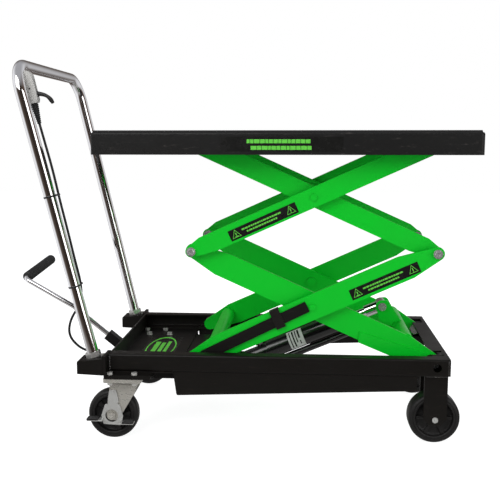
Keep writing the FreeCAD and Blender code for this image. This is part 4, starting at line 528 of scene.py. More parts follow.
def thin_marks(name, shapes, lift, material, body):
    """Printed shapes: rings of four corners, each raised by the lift into a closed thin block."""
    low = np.asarray(shapes, dtype=float)
    blocks = np.concatenate([low, low + np.asarray(lift)], axis=1)
    sides = [[0, 1, 2, 3], [7, 6, 5, 4], [0, 4, 5, 1], [1, 5, 6, 2], [2, 6, 7, 3], [3, 7, 4, 0]]
    faces = (np.arange(len(blocks))[:, None, None] * 8 + np.array(sides)[None]).reshape(-1, 4)
    mesh = bpy.data.meshes.new(name)
    mesh.from_pydata(blocks.reshape(-1, 3), [], faces.tolist())
    work = bmesh.new()
    work.from_mesh(mesh)
    bmesh.ops.recalc_face_normals(work, faces=work.faces)
    work.to_mesh(mesh)
    work.free()
    mesh.materials.append(material)
    piece = bpy.data.objects.new(name, mesh)
    scene.collection.objects.link(piece)
    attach(piece, body)
    return piece


def ring_shapes(middle, outer, inner, count=72, stretch=1.0):
    """A flat ring on the XY plane as four-cornered tiles between two radii, stretched along Y."""
    turn = 2 * np.pi * np.arange(count + 1) / count
    rim = np.stack([np.cos(turn), stretch * np.sin(turn), np.zeros_like(turn)], axis=-1)
    far, near = middle + outer * rim, middle + inner * rim
    return np.stack([far[:-1], far[1:], near[1:], near[:-1]], axis=1)


def bar_shapes(corner, along, across, spans):
    """Flat bars on a plane: each span is (start, end, low, high) along and across it."""
    corner, along, across = (np.asarray(v, dtype=float) for v in (corner, along, across))
    spans = np.asarray(spans, dtype=float)
    u = spans[:, [0, 1, 1, 0]]
    v = spans[:, [2, 2, 3, 3]]
    return corner + u[..., None] * along + v[..., None] * across


bolt_zinc = metal("bolt_zinc", (0.66, 0.65, 0.62), 0.26, bare=0.55)
finish_with(bolt_zinc, "frame_bolts")
floor_coat = coated("floor_black_coat", (0.0070, 0.0062, 0.0056), (0.14, 0.085, 0.055), 0.34, flecks=0.16,
                    shine=0.16)
finish_with(floor_coat, "floor_plate")
ink_green = painted("printed_green_ink", (0.10, 0.50, 0.045), 0.45, 300.0, 0.00005, pale=0.15)
vinyl_black = painted("black_vinyl", (0.0085, 0.0085, 0.0080), 0.26, 240.0, 0.00005)

floor_low, floor_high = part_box("floor_plate")
disc = np.array([floor_low[0] + 0.0845, -0.016, floor_high[2]])
thin_marks("floor_label_base", bar_shapes(disc, (1, 0, 0), (0, 1, 0), [(-0.045, 0.045, -0.128, 0.120)]),
           (0, 0, 0.00015), vinyl_black, "base")
lifted = disc + np.array([0, 0, 0.0002])
thin_marks("floor_label_ring", ring_shapes(lifted, 0.039, 0.0355, stretch=2.9), (0, 0, 0.0002), ink_green,
           "base")
thin_marks("floor_label_bars", bar_shapes(lifted, (1, 0, 0), (0, 1, 0), [
    (-0.022, -0.009, -0.060, 0.060), (-0.004, 0.006, -0.074, 0.052), (0.011, 0.020, -0.056, 0.066)]),
    (0, 0, 0.0002), ink_green, "base")
# painted shade: a thin sheet in the floor plate's black coat, laid just behind and below the plate's edge,
# darkens the gap there
shade_sheet_low = np.array([floor_high[0] - 0.0005, -0.150, floor_high[2] - 0.0060])
shade_sheet_high = np.array([floor_high[0] + 0.040, 0.150, floor_high[2] - 0.0030])
shade_sheet_size = shade_sheet_high - shade_sheet_low
thin_marks("floor_plate_shade_sheet", bar_shapes(shade_sheet_low, (1, 0, 0), (0, 1, 0), [(0, shade_sheet_size[0], 0, shade_sheet_size[1])]),
           (0, 0, shade_sheet_size[2]), floor_coat, "base")

# ---------------------------------------------------------------------------------------------
# The swivel casters: zinc plated pressings on a ball race, a moulded black wheel with a ribbed
# web, and a two-winged brake pedal with a rubber pad on each wing.
# ---------------------------------------------------------------------------------------------
caster_zinc = metal("caster_zinc", (0.56, 0.54, 0.49), 0.32, grain=(30.0, 30.0, 90.0), tone=0.18, bare=0.60)
finish_with(caster_zinc, "caster_top_plates", "caster_fork_left", "caster_fork_right")
brake_zinc = metal("brake_zinc", (0.64, 0.64, 0.62), 0.20, grain=(80.0, 80.0, 40.0), tone=0.35, bare=0.55)
finish_with(brake_zinc, "brake_pedal_left", "brake_pedal_right")
wheel_rubber = painted("wheel_rubber", (0.0085, 0.0080, 0.0078), 0.46, 420.0, 0.0003)


def spoked_wheel(name, node, hub_radius, ribs, body):
    """A wheel turned about its axle: half-section (radius, width); the web rises at each rib.

    Width at the web = web + (rib height) * smooth step of cos(ribs * turn), so ribs are radial.
    """
    low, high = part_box(node)
    middle = [(low[i] + high[i]) / 2 for i in range(3)]
    rim = (high[0] - low[0]) / 2
    hub = (high[1] - low[1]) / 2
    half = hub - 0.0035 if hub > 0.0195 else hub
    section = np.array([
        (0.0075, hub, 0), (hub_radius - 0.002, hub, 0), (hub_radius - 0.0004, hub - 0.0008, 0),
        (hub_radius, hub - 0.003, 0), (hub_radius + 0.0004, half - 0.009, 0.4),
        (hub_radius + 0.0016, half - 0.0105, 1), (0.028, half - 0.0115, 1), (0.036, half - 0.0115, 1),
        (rim - 0.0195, half - 0.0105, 1), (rim - 0.0182, half - 0.009, 0.4), (rim - 0.0176, half - 0.003, 0),
        (rim - 0.0168, half - 0.0012, 0), (rim - 0.0150, half - 0.0004, 0), (rim - 0.0120, half - 0.0006, 0),
        (rim - 0.0112, half - 0.0014, 0), (rim - 0.0104, half - 0.0004, 0), (rim - 0.0070, half - 0.0006, 0),
        (rim - 0.0032, half - 0.0030, 0), (rim - 0.0010, half - 0.0062, 0), (rim - 0.0002, half - 0.0100, 0),
        (rim, 0.0, 0),
    ])
    back = section[-2::-1] * np.array([1, -1, 1])
    back[:, 2] *= -1
    ring = np.concatenate([section, back])
    turn = np.linspace(0, 2 * np.pi, 180, endpoint=False)
    wave = np.clip((np.cos(ribs * turn) - 0.62) / 0.22, 0, 1)
    swell = wave * wave * (3 - 2 * wave) * 0.0062
    radius = np.broadcast_to(ring[:, 0], (len(turn), len(ring)))
    across = ring[None, :, 1] + ring[None, :, 2] * swell[:, None]
    points = np.stack([
        middle[0] + radius * np.cos(turn)[:, None], middle[1] + across,
        middle[2] + radius * np.sin(turn)[:, None]], axis=-1)
    index = np.arange(points.shape[0] * points.shape[1]).reshape(points.shape[:2])
    ahead = np.roll(index, -1, axis=0)
    beside = np.roll(index, -1, axis=1)
    both = np.roll(ahead, -1, axis=1)
    faces = np.stack([index, beside, both, ahead], axis=-1).reshape(-1, 4)
    wheel = skin_from(name, points, faces, wheel_rubber, sharp=50)
    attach(wheel, body)
    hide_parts(node)
    return middle


def slab(name, low, high, round_by, material, body, grooves=0):
    """A rounded pad: a superellipse section in XZ carried along Y, shrunk at both ends."""
    low, high = np.asarray(low), np.asarray(high)
    middle, half = (low + high) / 2, (high - low) / 2
    turn = np.linspace(0, 2 * np.pi, 40, endpoint=False)
    power = 0.35
    x = half[0] * np.sign(np.cos(turn)) * np.abs(np.cos(turn)) ** power
    z = half[2] * np.sign(np.sin(turn)) * np.abs(np.sin(turn)) ** power
    steps = 40 if grooves else 12
    along = np.linspace(-1, 1, steps)
    past = np.clip((np.abs(along) * half[1] - half[1] + round_by) / round_by, 0, 1)
    close = np.sqrt(1 - past ** 2)
    inset = round_by * (1 - close)
    dip = 0.0007 * (np.cos(along * np.pi * grooves) > 0.3) if grooves else 0 * along
    scale_x = (half[0] - inset) / half[0]
    scale_z = (half[2] - inset - dip) / half[2]
    points = np.stack([
        middle[0] + x[None] * scale_x[:, None], np.repeat((middle[1] + along * half[1])[:, None], 40, axis=1),
        middle[2] + z[None] * scale_z[:, None]], axis=-1)
    pad = close_skin(name, points, material, sharp=45)
    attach(pad, body)
    return pad


for side, name in ((1, "left"), (-1, "right")):
    wheel = "caster_wheel_" + name
    middle = spoked_wheel(wheel + "_tyre", wheel, 0.0165, 5, wheel)
    brake_low, brake_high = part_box("brake_pedal_" + name)
    edge = brake_high[1] if side > 0 else brake_low[1]
    span = sorted((edge - side * 0.018, edge + side * 0.0012))
    for number, (x0, x1, z0, z1) in enumerate((
            (-0.0585, -0.030, 0.0555, 0.0610), (0.028, 0.0565, 0.0485, 0.0540))):
        slab("brake_pad_%s_%d" % (name, number + 1), (middle[0] + x0, span[0], z0),
             (middle[0] + x1, span[1], z1), 0.0016, wheel_rubber, "brake_" + name, grooves=5)

# ---------------------------------------------------------------------------------------------
# The fixed front wheels: the same moulding with a wider ribbed hub, on a turned steel axle held
# by a nut in the welded fork.
# ---------------------------------------------------------------------------------------------
axle_steel = metal("axle_steel", (0.64, 0.64, 0.62), 0.24, grain=(40.0, 160.0, 40.0), bare=0.55)
finish_with(axle_steel, "front_axles")
for wheel in ("front_wheel_left", "front_wheel_right"):
    spoked_wheel(wheel + "_tyre", wheel, 0.0185, 6, wheel)

# ---------------------------------------------------------------------------------------------
# The scissor arms: 8 mm plate cut by laser, cross tubes welded between the pairs, and a bright
# green coat over everything, the ends of the centre pins included. Rollers and pins are turned.
# ---------------------------------------------------------------------------------------------
green_coat = coated("green_gloss_coat", (0.0004, 0.500, 0.0180), (0.01, 0.36, 0.03), 0.30, flecks=0.10,
                    clouds=0.12, peel_scale=180.0, depth=0.00025, coat=0.10, shine=0.18)
finish_with(green_coat, "lower_inner_frame", "lower_outer_frame", "upper_inner_frame", "upper_outer_frame",
            "lower_centre_pins", "upper_centre_pins")
pin_steel = metal("pin_steel", (0.62, 0.62, 0.61), 0.22, grain=(50.0, 200.0, 50.0), tone=0.5, bare=0.6)
finish_with(pin_steel, "mid_left_pins", "mid_right_pins", "table_pivot_pins", "base_pivot_pins",
            "ram_top_pin")


def turned(name, place, way, profile, material, body, sides=48, flats=0):
    """A turned piece: rows of (radius, distance) swept round an axis through a place.

    With flats, the radius grows towards each corner as flat / cos(angle from the flat's middle).
    """
    side, up = square_to(way)
    way = np.asarray(way, dtype=float) / np.linalg.norm(way)
    turn = np.linspace(0, 2 * np.pi, sides, endpoint=False)
    corner = 1 / np.cos((turn % (2 * np.pi / flats)) - np.pi / flats) if flats else np.ones(sides)
    rows = np.asarray(profile, dtype=float)
    rim = corner[:, None] * (np.cos(turn)[:, None] * side + np.sin(turn)[:, None] * up)
    rings = np.asarray(place) + rows[:, 1][:, None, None] * way + rows[:, 0][:, None, None] * rim
    piece = close_skin(name, rings, material, sharp=30)
    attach(piece, body)
    return piece


def bolt_end(name, place, way, reach, body):
    """A washer and a six-sided head with a chamfered crown, sized by its washer's radius."""
    turned(name + "_washer", place, way, [(reach, 0), (reach, 0.0010), (reach * 0.96, 0.0014)], pin_steel,
           body)
    turned(name + "_head", np.asarray(place) + 0.0013 * np.asarray(way), way, [
        (reach * 0.72, 0), (reach * 0.72, 0.0022), (reach * 0.60, 0.0034), (reach * 0.34, 0.0034),
        (reach * 0.30, 0.0024), (reach * 0.10, 0.0024)], pin_steel, body, flats=6)


roller_steel = metal("roller_steel", (0.34, 0.32, 0.30), 0.38, grain=(50.0, 220.0, 50.0), tone=0.4)
finish_with(roller_steel, "base_roller_left", "base_roller_right", "table_roller_left", "table_roller_right")

ARM_FACE = 0.1895
ARM_RISE = 24.27
STRIP_LENGTH, STRIP_WIDTH = 0.178, 0.027
BOLT_REACH = 0.0112
arm_angle = math.radians(ARM_RISE)
arm_way = np.array([math.cos(arm_angle), 0.0, math.sin(arm_angle)])
arm_up = np.array([-math.sin(arm_angle), 0.0, math.cos(arm_angle)])
axle_low, axle_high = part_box("front_axles")
pivot_x = (axle_low[0] + axle_high[0]) / 2
roller_low, roller_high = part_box("base_roller_right")
foot_x, foot_z = (roller_low[0] + roller_high[0]) / 2, (roller_low[2] + roller_high[2]) / 2
mid_low, mid_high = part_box("mid_left_pins")
mid_z = (mid_low[2] + mid_high[2]) / 2


def triangle_shapes(corner, along, across, middle, size, thick):
    """A triangle's outline as three four-cornered bars between an outer and an inner triangle."""
    turn = np.radians([90, 210, 330])
    outer = np.stack([np.cos(turn), np.sin(turn)], axis=-1) * size
    inner = outer * (1 - thick)
    flat = np.stack([outer, np.roll(outer, -1, axis=0), np.roll(inner, -1, axis=0), inner], axis=1)
    flat = flat + np.asarray(middle)
    return corner + flat[..., :1] * along + flat[..., 1:] * across


def dash_row(start, end, low, high, count, seed):
    """A row of short dashes whose lengths vary, as spans along a strip."""
    random = np.random.default_rng(seed)
    cuts = start + (end - start) * np.cumsum(random.uniform(0.7, 1.6, count)) / (1.15 * count + 1)
    cuts = np.concatenate([[start], cuts[cuts < end - 0.004]])
    return [(a, b - 0.0012, low, high) for a, b in zip(cuts[:-1], cuts[1:])]


for node in ("mid_left_pins", "mid_right_pins"):
    low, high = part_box(node)
    for side in (-1, 1):
        pin_end = ((low[0] + high[0]) / 2, side * (high[1] - 0.0002), (low[2] + high[2]) / 2)
        bolt_end("%s_%s" % (node[:-5], "left" if side > 0 else "right"), pin_end, (0, side, 0), BOLT_REACH,
                 frame["nodes"][node]["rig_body"])

for frame_name, body, lowest, offset in (
        ("upper", "upper_outer", mid_z, (0.1015, -0.0045)),
        ("lower", "lower_outer", foot_z, (0.422, -0.0100))):
    for side in (-1, 1):
        foot = np.array([foot_x, side * (ARM_FACE + 0.00005), lowest])
        corner = foot + arm_way * offset[0] + arm_up * (offset[1] - STRIP_WIDTH / 2)
        out = np.array([0.0, side, 0.0])
        label = "%s_arm_label_%s" % (frame_name, "left" if side > 0 else "right")
        thin_marks(label, bar_shapes(corner, arm_way, arm_up, [(0, STRIP_LENGTH, 0, STRIP_WIDTH)]),
                   out * 0.00018, vinyl_black, body)
        corner = corner + out * 0.0002
        shapes = [
            triangle_shapes(corner, arm_way, arm_up, (0.017, 0.0115), 0.0135, 0.17),
            triangle_shapes(corner, arm_way, arm_up, (STRIP_LENGTH - 0.017, 0.0115), 0.0135, 0.17),
            bar_shapes(corner, arm_way, arm_up, [
                (0.0158, 0.0182, 0.0095, 0.0165), (0.0125, 0.0215, 0.0060, 0.0080),
                (STRIP_LENGTH - 0.0182, STRIP_LENGTH - 0.0158, 0.0095, 0.0175),
                (STRIP_LENGTH - 0.0182, STRIP_LENGTH - 0.0158, 0.0055, 0.0078)]),
            bar_shapes(corner, arm_way, arm_up, dash_row(0.034, 0.144, 0.0155, 0.0195, 15, 5)),
            bar_shapes(corner, arm_way, arm_up, dash_row(0.044, 0.134, 0.0070, 0.0110, 12, 8)),
        ]
        thin_marks(label + "_print", np.concatenate(shapes), out * 0.00015, ink_green, body)

# ---------------------------------------------------------------------------------------------
# The service prop: a flat black bar pinned to the lower arm, held by a folded spring clip. It
# swings out and stands on the base when the cart is worked on.
# ---------------------------------------------------------------------------------------------
prop_coat = coated("prop_black_coat", (0.0062, 0.0055, 0.0050), (0.07, 0.05, 0.04), 0.42, flecks=0.15,
                   clouds=0.5)
finish_with(prop_coat, "prop_bar")
clip_black = painted("clip_black_oxide", (0.010, 0.009, 0.008), 0.36, 160.0, 0.0002)
finish_with(clip_black, "prop_clip")

# ---------------------------------------------------------------------------------------------
# The lift ram: a steel barrel in gloss black with a thin return pipe beneath it, a turned gland,
# and a hard chromed rod. A printed foil with plain bars is wrapped round the barrel.
# ---------------------------------------------------------------------------------------------
ram_gloss = coated("ram_gloss_black", (0.0050, 0.0050, 0.0054), (0.05, 0.045, 0.04), 0.16, flecks=0.08,
                   clouds=0.2, depth=0.0001, coat=0.3, shine=0.5)
finish_with(ram_gloss, "ram_barrel")
gland_steel = metal("gland_steel", (0.42, 0.41, 0.40), 0.26, grain=(200.0, 50.0, 50.0))
finish_with(gland_steel, "ram_gland")
chrome = metal("chrome_plate", (0.82, 0.82, 0.83), 0.075, grain=(8.0, 8.0, 3.0), streak=0.03,
               depth=0.00001, tone=0.06)
finish_with(chrome, "ram_rod")
foil_white = painted("printed_foil_white", (0.62, 0.62, 0.60), 0.38, 200.0, 0.00005, pale=0.1)

# lengths along the cart are measured from a point this far behind the front axles
AXLE_FROM_ORIGIN = 0.822
RAM_FOOT_X, RAM_FOOT_Z = 0.330, 0.135
FOIL_RADIUS = 0.0252
shift_x = pivot_x - AXLE_FROM_ORIGIN
ram_foot = np.array([shift_x + RAM_FOOT_X, 0.0, RAM_FOOT_Z])
ram_way = np.array([0.91988, 0.0, 0.39220])
ram_up = np.array([-ram_way[2], 0.0, ram_way[0]])


def on_barrel(distance, turn, radius):
    """Points round the ram's axis: distance up it, turned from its upper side towards -Y."""
    middle = ram_foot + np.asarray(distance)[..., None] * ram_way
    out = np.cos(turn)[..., None] * ram_up - np.sin(turn)[..., None] * np.array([0.0, 1.0, 0.0])
    return middle + radius * out


def foil(name, start, end, turn0, turn1, radius, thick, material):
    """A curved printed band on the barrel between two distances and two turns."""
    steps = max(3, int(abs(turn1 - turn0) / 0.09))
    turn = np.linspace(turn0, turn1, steps)
    rows = [on_barrel(np.full(steps, place), turn, r) for place, r in
            ((start, radius), (start, radius + thick), (end, radius + thick), (end, radius))]
    piece = close_skin(name, np.stack(rows, axis=1), material, sharp=40)
    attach(piece, "ram_barrel")
    return piece


foil("ram_foil_base", 0.148, 0.190, 0.15, 2.45, FOIL_RADIUS, 0.0002, foil_white)
for number, (start, end, low, high) in enumerate((
        (0.1535, 0.1565, 0.35, 2.25), (0.1615, 0.1655, 0.35, 2.25), (0.1695, 0.1725, 0.35, 1.75),
        (0.1765, 0.1815, 0.35, 1.35), (0.1775, 0.1805, 1.60, 2.05))):
    foil("ram_foil_bar_%d" % (number + 1), start, end, low, high, FOIL_RADIUS + 0.0002, 0.00015, vinyl_black)

# ---------------------------------------------------------------------------------------------
# The foot pump: a machined block and a folded tank under the floor plate, both in gloss black,
# with a polished plunger, its return spring and a steel pressure pipe to the ram.
# ---------------------------------------------------------------------------------------------
finish_with(ram_gloss, "pump_body", "pump_tank")
spring_steel = metal("spring_steel", (0.50, 0.49, 0.47), 0.28, grain=(120.0, 40.0, 40.0))
finish_with(spring_steel, "pump_plunger", "pressure_pipe")
finish_with(caster_zinc, "valve_lever")


def round_bar(name, line, radius, material, around=32, sharp=45):
    """A round bar along a line: each ring stands square to the line and is carried without twist."""
    line = np.asarray(line, dtype=float)
    way = np.gradient(line, axis=0)
    way /= np.linalg.norm(way, axis=1, keepdims=True)
    side, _ = square_to(way[0])
    sides = []
    for direction in way:
        side = side - direction * (side @ direction)
        side /= np.linalg.norm(side)
        sides.append(side)
    sides = np.array(sides)
    ups = np.cross(way, sides)
    turn = np.linspace(0, 2 * np.pi, around, endpoint=False)
    radius = np.broadcast_to(radius, len(line))
    rings = line[:, None] + radius[:, None, None] * (
        np.cos(turn)[None, :, None] * sides[:, None] + np.sin(turn)[None, :, None] * ups[:, None])
    return close_skin(name, rings, material, sharp=sharp)


# the return spring: a helix of seven turns whose end turns lie close
spring_low, spring_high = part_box("plunger_spring")
WIRE_RADIUS = 0.0014
SPRING_TURNS = 7
coil_radius = (spring_high[2] - spring_low[2]) / 2 - WIRE_RADIUS
spring_turn = 2 * np.pi * np.linspace(0, SPRING_TURNS, 300)
spring_pace = np.interp(spring_turn / (2 * np.pi), [0, 1, SPRING_TURNS - 1, SPRING_TURNS],
                        [0.0, 0.09, 0.91, 1.0])
spring_axis = [(spring_low[k] + spring_high[k]) / 2 for k in (1, 2)]
spring_line = np.stack([
    spring_low[0] + WIRE_RADIUS + spring_pace * (spring_high[0] - spring_low[0] - 2 * WIRE_RADIUS),
    spring_axis[0] + coil_radius * np.cos(spring_turn),
    spring_axis[1] + coil_radius * np.sin(spring_turn)], axis=-1)
return_spring = round_bar("plunger_return_spring", spring_line, WIRE_RADIUS, spring_steel, around=12)
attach(return_spring, "base")
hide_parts("plunger_spring")
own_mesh(return_spring)

# ---------------------------------------------------------------------------------------------
# The foot pedal: a square welded socket, a chromed bar that kinks and turns across the cart,
# and a ribbed rubber sleeve where the foot presses.
# ---------------------------------------------------------------------------------------------
finish_with(prop_coat, "pedal_socket")


def route_points(corners, bends, arc_steps=14):
    """Straight runs joined by arcs: each arc turns the way it comes in towards the way it leaves."""
    corners = np.asarray(corners, dtype=float)
    pieces = [corners[:1]]
    for corner, before, after, bend in zip(corners[1:-1], corners[:-2], corners[2:], bends):
        come = (corner - before) / np.linalg.norm(corner - before)
        leave = (after - corner) / np.linalg.norm(after - corner)
        turn = math.acos(np.clip(come @ leave, -1, 1))
        reach = bend * math.tan(turn / 2)
        square = leave - come * (come @ leave)
        square /= np.linalg.norm(square)
        sweep = np.linspace(0, turn, arc_steps)[:, None]
        pieces.append(corner - come * reach + bend * (np.sin(sweep) * come + (1 - np.cos(sweep)) * square))
    pieces.append(corners[-1:])
    return np.concatenate(pieces)


def with_ends(line, gap):
    """The same line with a second point just inside each end, so a bar's ends stay square."""
    first = line[0] + (line[1] - line[0]) / np.linalg.norm(line[1] - line[0]) * gap
    last = line[-1] + (line[-2] - line[-1]) / np.linalg.norm(line[-2] - line[-1]) * gap
    return np.concatenate([line[:1], [first], line[1:-1], [last], line[-1:]])


def ribbed_sleeve(name, start, end, base, rib, pitch, material, body, taper=0.0):
    """A sleeve between two places: radius = base + rib * |sin| of the distance, rounded at the ends."""
    start, end = np.asarray(start, dtype=float), np.asarray(end, dtype=float)
    length = np.linalg.norm(end - start)
    distance = np.linspace(0, length, int(length / pitch) * 8)
    close = np.clip(np.minimum(distance, length - distance) / 0.003, 0, 1)
    wave = rib * (np.abs(np.sin(np.pi * distance / pitch)) - 0.5)
    radius = (base - taper * distance / length + wave) * (0.72 + 0.28 * np.sqrt(1 - (1 - close) ** 2))
    line = start + (distance / length)[:, None] * (end - start)
    sleeve = round_bar(name, line, radius, material, around=40, sharp=60)
    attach(sleeve, body)
    return sleeve


GRIP_RISE = math.radians(5.0)
PEDAL_RISE, ROD_RISE = math.radians(39.2), math.radians(29.6)
PEDAL_PIVOT_X, PEDAL_PIVOT_Z = 0.048, 0.140
ROD_STARTS, ROD_KINKS = 0.073, 0.223
ROD_REACH, GRIP_REACH = 0.154, 0.222
KINK_BEND, CROSS_BEND = 0.060, 0.016
ROD_RADIUS = 0.0065
END_GAP = 0.0004
pedal_pivot = np.array([shift_x + PEDAL_PIVOT_X, 0.0, PEDAL_PIVOT_Z])
pedal_way = np.array([-math.cos(PEDAL_RISE), 0, math.sin(PEDAL_RISE)])
rod_start = pedal_pivot + ROD_STARTS * pedal_way
rod_kink = pedal_pivot + ROD_KINKS * pedal_way
rod_bend = rod_kink + ROD_REACH * np.array([-math.cos(ROD_RISE), 0, math.sin(ROD_RISE)])
grip_way = np.array([0, math.cos(GRIP_RISE), math.sin(GRIP_RISE)])
rod_end = rod_bend + GRIP_REACH * grip_way
pedal_line = route_points([rod_start, rod_kink, rod_bend, rod_end], [KINK_BEND, CROSS_BEND])
pedal_bar = round_bar("pedal_bar", with_ends(pedal_line, END_GAP), ROD_RADIUS, chrome)
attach(pedal_bar, "foot_pedal")
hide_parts("pedal_rod")
grip_rubber = painted("grip_rubber", (0.014, 0.014, 0.014), 0.46, 380.0, 0.0002)
pedal_sleeve = ribbed_sleeve("pedal_sleeve", rod_bend + grip_way * 0.018, rod_end + grip_way * 0.004, 0.0131,
                             0.0014, 0.0058, grip_rubber, "foot_pedal")
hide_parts("pedal_grip")

# ---------------------------------------------------------------------------------------------
# The push handle: one 28 mm steel tube bent to a U and chromed, held in two welded sockets by
# hexagon collar nuts. Two nylon ties hold the release cable to its right-hand post.
# ---------------------------------------------------------------------------------------------
HANDLE_FOOT = np.array([shift_x - 0.0075, 0.2395, 0.212])
HANDLE_TOP = np.array([shift_x - 0.1725, 0.2580, 0.909])
TUBE_RADIUS = 0.014
HANDLE_BEND = 0.066
SEAT_DEPTH = 0.034
post_way = (HANDLE_TOP - HANDLE_FOOT) / np.linalg.norm(HANDLE_TOP - HANDLE_FOOT)
seat = HANDLE_FOOT - post_way * SEAT_DEPTH
mirror = np.array([1.0, -1.0, 1.0])
handle_line = route_points([seat, HANDLE_TOP, HANDLE_TOP * mirror, seat * mirror],
                           [HANDLE_BEND, HANDLE_BEND], arc_steps=26)
push_handle = round_bar("push_handle_tube", with_ends(handle_line, END_GAP), TUBE_RADIUS, chrome, around=48)
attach(push_handle, "base")
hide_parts("handle_tube")
nut_zinc = metal("nut_bright_zinc", (0.66, 0.65, 0.62), 0.16, grain=(60.0, 60.0, 160.0), tone=0.5, bare=0.65)
finish_with(nut_zinc, "handle_nuts")

tie_nylon = painted("tie_nylon", (0.015, 0.015, 0.016), 0.35, 200.0, 0.0001)
# the part of the cable's route that runs down beside the post, from its foot up
post_run = np.array(CABLE_ROUTE[:9])
post_run = post_run[np.argsort(post_run[:, 2])]


def cable_tie(name, height):
    """A band round two round things: for each direction, the one that reaches further that way."""
    share = (height - HANDLE_FOOT[2]) / (HANDLE_TOP[2] - HANDLE_FOOT[2])
    post = (HANDLE_FOOT + (HANDLE_TOP - HANDLE_FOOT) * share) * mirror
    wire = np.array([np.interp(height, post_run[:, 2], post_run[:, k]) for k in (0, 1)] + [height])
    axis = post_way * mirror
    side, up = square_to(axis)
    middles = np.array([[post @ side, post @ up], [wire @ side, wire @ up]])
    radii = np.array([TUBE_RADIUS + 0.0002, CABLE_DIAMETER / 2 + 0.0002])
    turn = np.linspace(0, 2 * np.pi, 96, endpoint=False)
    out = np.stack([np.cos(turn), np.sin(turn)], axis=-1)
    reach = out @ middles.T + radii
    best = np.argmax(reach, axis=1)
    level = post @ axis
    rings = []
    for grow, rise in ((0, -0.0022), (0.0012, -0.0018), (0.0012, 0.0018), (0, 0.0022)):
        flat = middles[best] + (radii[best] + grow)[:, None] * out
        rings.append(flat[:, :1] * side + flat[:, 1:] * up + (level + rise) * axis)
    rings = np.stack(rings)
    index = np.arange(rings.shape[0] * rings.shape[1]).reshape(rings.shape[:2])
    index = np.concatenate([index, index[:1]])
    beside = np.roll(index, -1, axis=1)
    faces = np.stack([index[:-1], index[1:], beside[1:], beside[:-1]], axis=-1).reshape(-1, 4)
    tie = skin_from(name, rings, faces, tie_nylon, sharp=35)
    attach(tie, "base")


cable_tie("cable_tie_upper", 0.600)
cable_tie("cable_tie_lower", 0.384)

# ---------------------------------------------------------------------------------------------
# The hand release: a grey painted bracket clamped to the post, a moulded lever shaped for two
# fingers, and a rubber bellows where the cable's sheath ends.
# ---------------------------------------------------------------------------------------------
bracket_grey = coated("bracket_grey_coat", (0.46, 0.45, 0.43), (0.62, 0.61, 0.58), 0.34, flecks=0.2,
                      clouds=0.3)
finish_with(bracket_grey, "release_bracket")
post_top = HANDLE_TOP * mirror
rise = np.array([post_way[0], 0.0, post_way[2]])
rise /= np.linalg.norm(rise)
out_way = np.array([rise[2], 0.0, -rise[0]])


def beside_post(down, out, across):
    """Points beside the post: down from its top, out towards the table, at a place across."""
    down, out = np.asarray(down, dtype=float), np.asarray(out, dtype=float)
    place = post_top - down[..., None] * rise + out[..., None] * out_way
    place[..., 1] = across
    return place


lever_low, lever_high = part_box("release_lever")
lever_y = (lever_low[1] + lever_high[1]) / 2
share = np.linspace(0, 1, 40)
# the lever's middle line is a cubic curve through four holds, as (down, out) beside the post
hold = np.array([(0.0700, 0.0100), (0.0800, 0.0330), (0.0780, 0.0520), (0.1065, 0.0590)])
weight = np.stack([(1 - share) ** 3, 3 * share * (1 - share) ** 2, 3 * share ** 2 * (1 - share),
                   share ** 3], axis=-1)
bow = weight @ hold
bow_way = np.gradient(bow, axis=0)
bow_way /= np.linalg.norm(bow_way, axis=1, keepdims=True)
bow_side = np.stack([-bow_way[:, 1], bow_way[:, 0]], axis=-1)
deep = np.interp(share, [0, 0.18, 0.4, 0.7, 0.9, 1], [0.0050, 0.0062, 0.0050, 0.0040, 0.0050, 0.0036])
wide = np.interp(share, [0, 0.1, 0.85, 1], [0.0036, 0.0045, 0.0045, 0.0030])
turn = np.linspace(0, 2 * np.pi, 28, endpoint=False)
section = bow[:, None] + (deep[:, None] * np.cos(turn))[..., None] * bow_side[:, None]
rings = beside_post(section[..., 0], section[..., 1], lever_y)
rings[..., 1] += wide[:, None] * np.sign(np.sin(turn)) * np.abs(np.sin(turn)) ** 0.6
lever_black = painted("lever_black_nylon", (0.016, 0.0155, 0.015), 0.40, 260.0, 0.0002)
release_lever = close_skin("release_lever_moulding", rings, lever_black, sharp=60)
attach(release_lever, "release_lever")
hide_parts("release_lever")
bellows = ribbed_sleeve(
    "release_bellows", beside_post(0.0976, 0.015, lever_y), np.array(CABLE_ROUTE[0]), 0.0088, 0.0012, 0.0048,
    grip_rubber, "base", taper=0.0045)
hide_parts("release_boot")
rivet = beside_post(0.0627, 0.0170, lever_low[1] - 0.0080)
turned("release_rivet", rivet, (0, -1, 0), [(0.0022, 0), (0.0022, 0.0006), (0.0015, 0.0011)], lever_black,
       "base", sides=24)

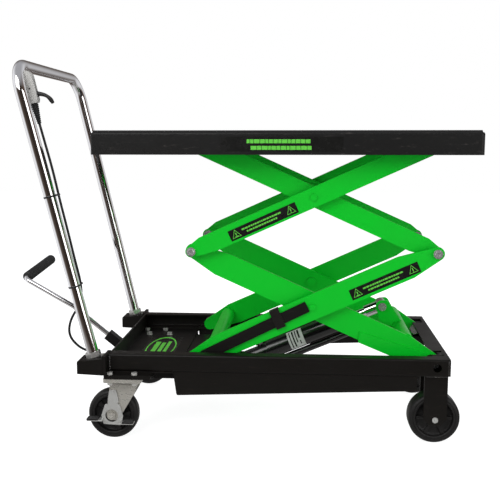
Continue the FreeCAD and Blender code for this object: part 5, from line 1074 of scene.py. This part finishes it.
# ---------------------------------------------------------------------------------------------
# The table: a pressed pan of 2.5 mm sheet with a deep folded skirt, satin black, with a ribbed
# rubber mat on top and the roller tracks and pivot lugs welded beneath.
# ---------------------------------------------------------------------------------------------
deck_coat = coated("table_black_coat", (0.0105, 0.0102, 0.0100), (0.075, 0.065, 0.060), 0.34, flecks=0.45,
                   clouds=0.6, peel_scale=520.0, depth=0.0003)
finish_with(deck_coat, "table_deck", "table_underframe")
mat_rubber = painted("mat_rubber", (0.010, 0.0095, 0.0092), 0.60, 300.0, 0.0004)
mat_low, mat_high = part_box("table_mat")
RIB_PITCH, RIB_HEIGHT = 0.0050, 0.0016
MAT_MARGIN = 0.003
BEVEL_IN, BEVEL_DOWN = 0.0010, 0.0028
rows = int((mat_high[1] - mat_low[1] - 2 * MAT_MARGIN) / RIB_PITCH)
step = np.arange(rows)[:, None] * RIB_PITCH + np.array([0.0, 0.0008, 0.0026, 0.0034])[None]
level = np.broadcast_to(np.array([0.0, RIB_HEIGHT, RIB_HEIGHT, 0.0]), step.shape) - RIB_HEIGHT
across = mat_low[1] + MAT_MARGIN + step.ravel()
top = np.stack([across, mat_high[2] + level.ravel()], axis=-1)
edge = np.array([(mat_high[1] - BEVEL_IN, mat_high[2] - RIB_HEIGHT), (mat_high[1], mat_high[2] - BEVEL_DOWN),
                 (mat_high[1], mat_low[2]), (mat_low[1], mat_low[2]), (mat_low[1], mat_high[2] - BEVEL_DOWN),
                 (mat_low[1] + BEVEL_IN, mat_high[2] - RIB_HEIGHT)])
profile = np.concatenate([top, edge])
ends = np.array([mat_low[0], mat_high[0]])
grid = np.stack([np.stack([np.full(len(profile), x), profile[:, 0], profile[:, 1]], axis=-1) for x in ends])
table_mat = close_skin("table_mat_ribbed", grid, mat_rubber, sharp=30)
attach(table_mat, "table")
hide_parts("table_mat")

deck_low, deck_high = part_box("table_deck")
SKIRT_MIDDLE = deck_low[2] + 0.0245
PRINT_START = deck_low[0] + 0.368
for side in (-1, 1):
    hand = "left" if side > 0 else "right"
    face = side * (deck_high[1] + 0.00003)
    corner = np.array([PRINT_START, face, SKIRT_MIDDLE])
    film = bar_shapes(corner, (1, 0, 0), (0, 0, 1), [(-0.062, 0.222, -0.017, 0.017)])
    thin_marks("table_skirt_film_" + hand, film, (0, side * 0.00012, 0), vinyl_black, "table")
    corner[1] += side * 0.00015
    dashes = dash_row(0.0, 0.170, 0.0022, 0.0112, 14, 3) + dash_row(0.009, 0.160, -0.0128, -0.0038, 13, 4)
    thin_marks("table_skirt_bars_" + hand, bar_shapes(corner, (1, 0, 0), (0, 0, 1), dashes),
               (0, side * 0.00015, 0), ink_green, "table")
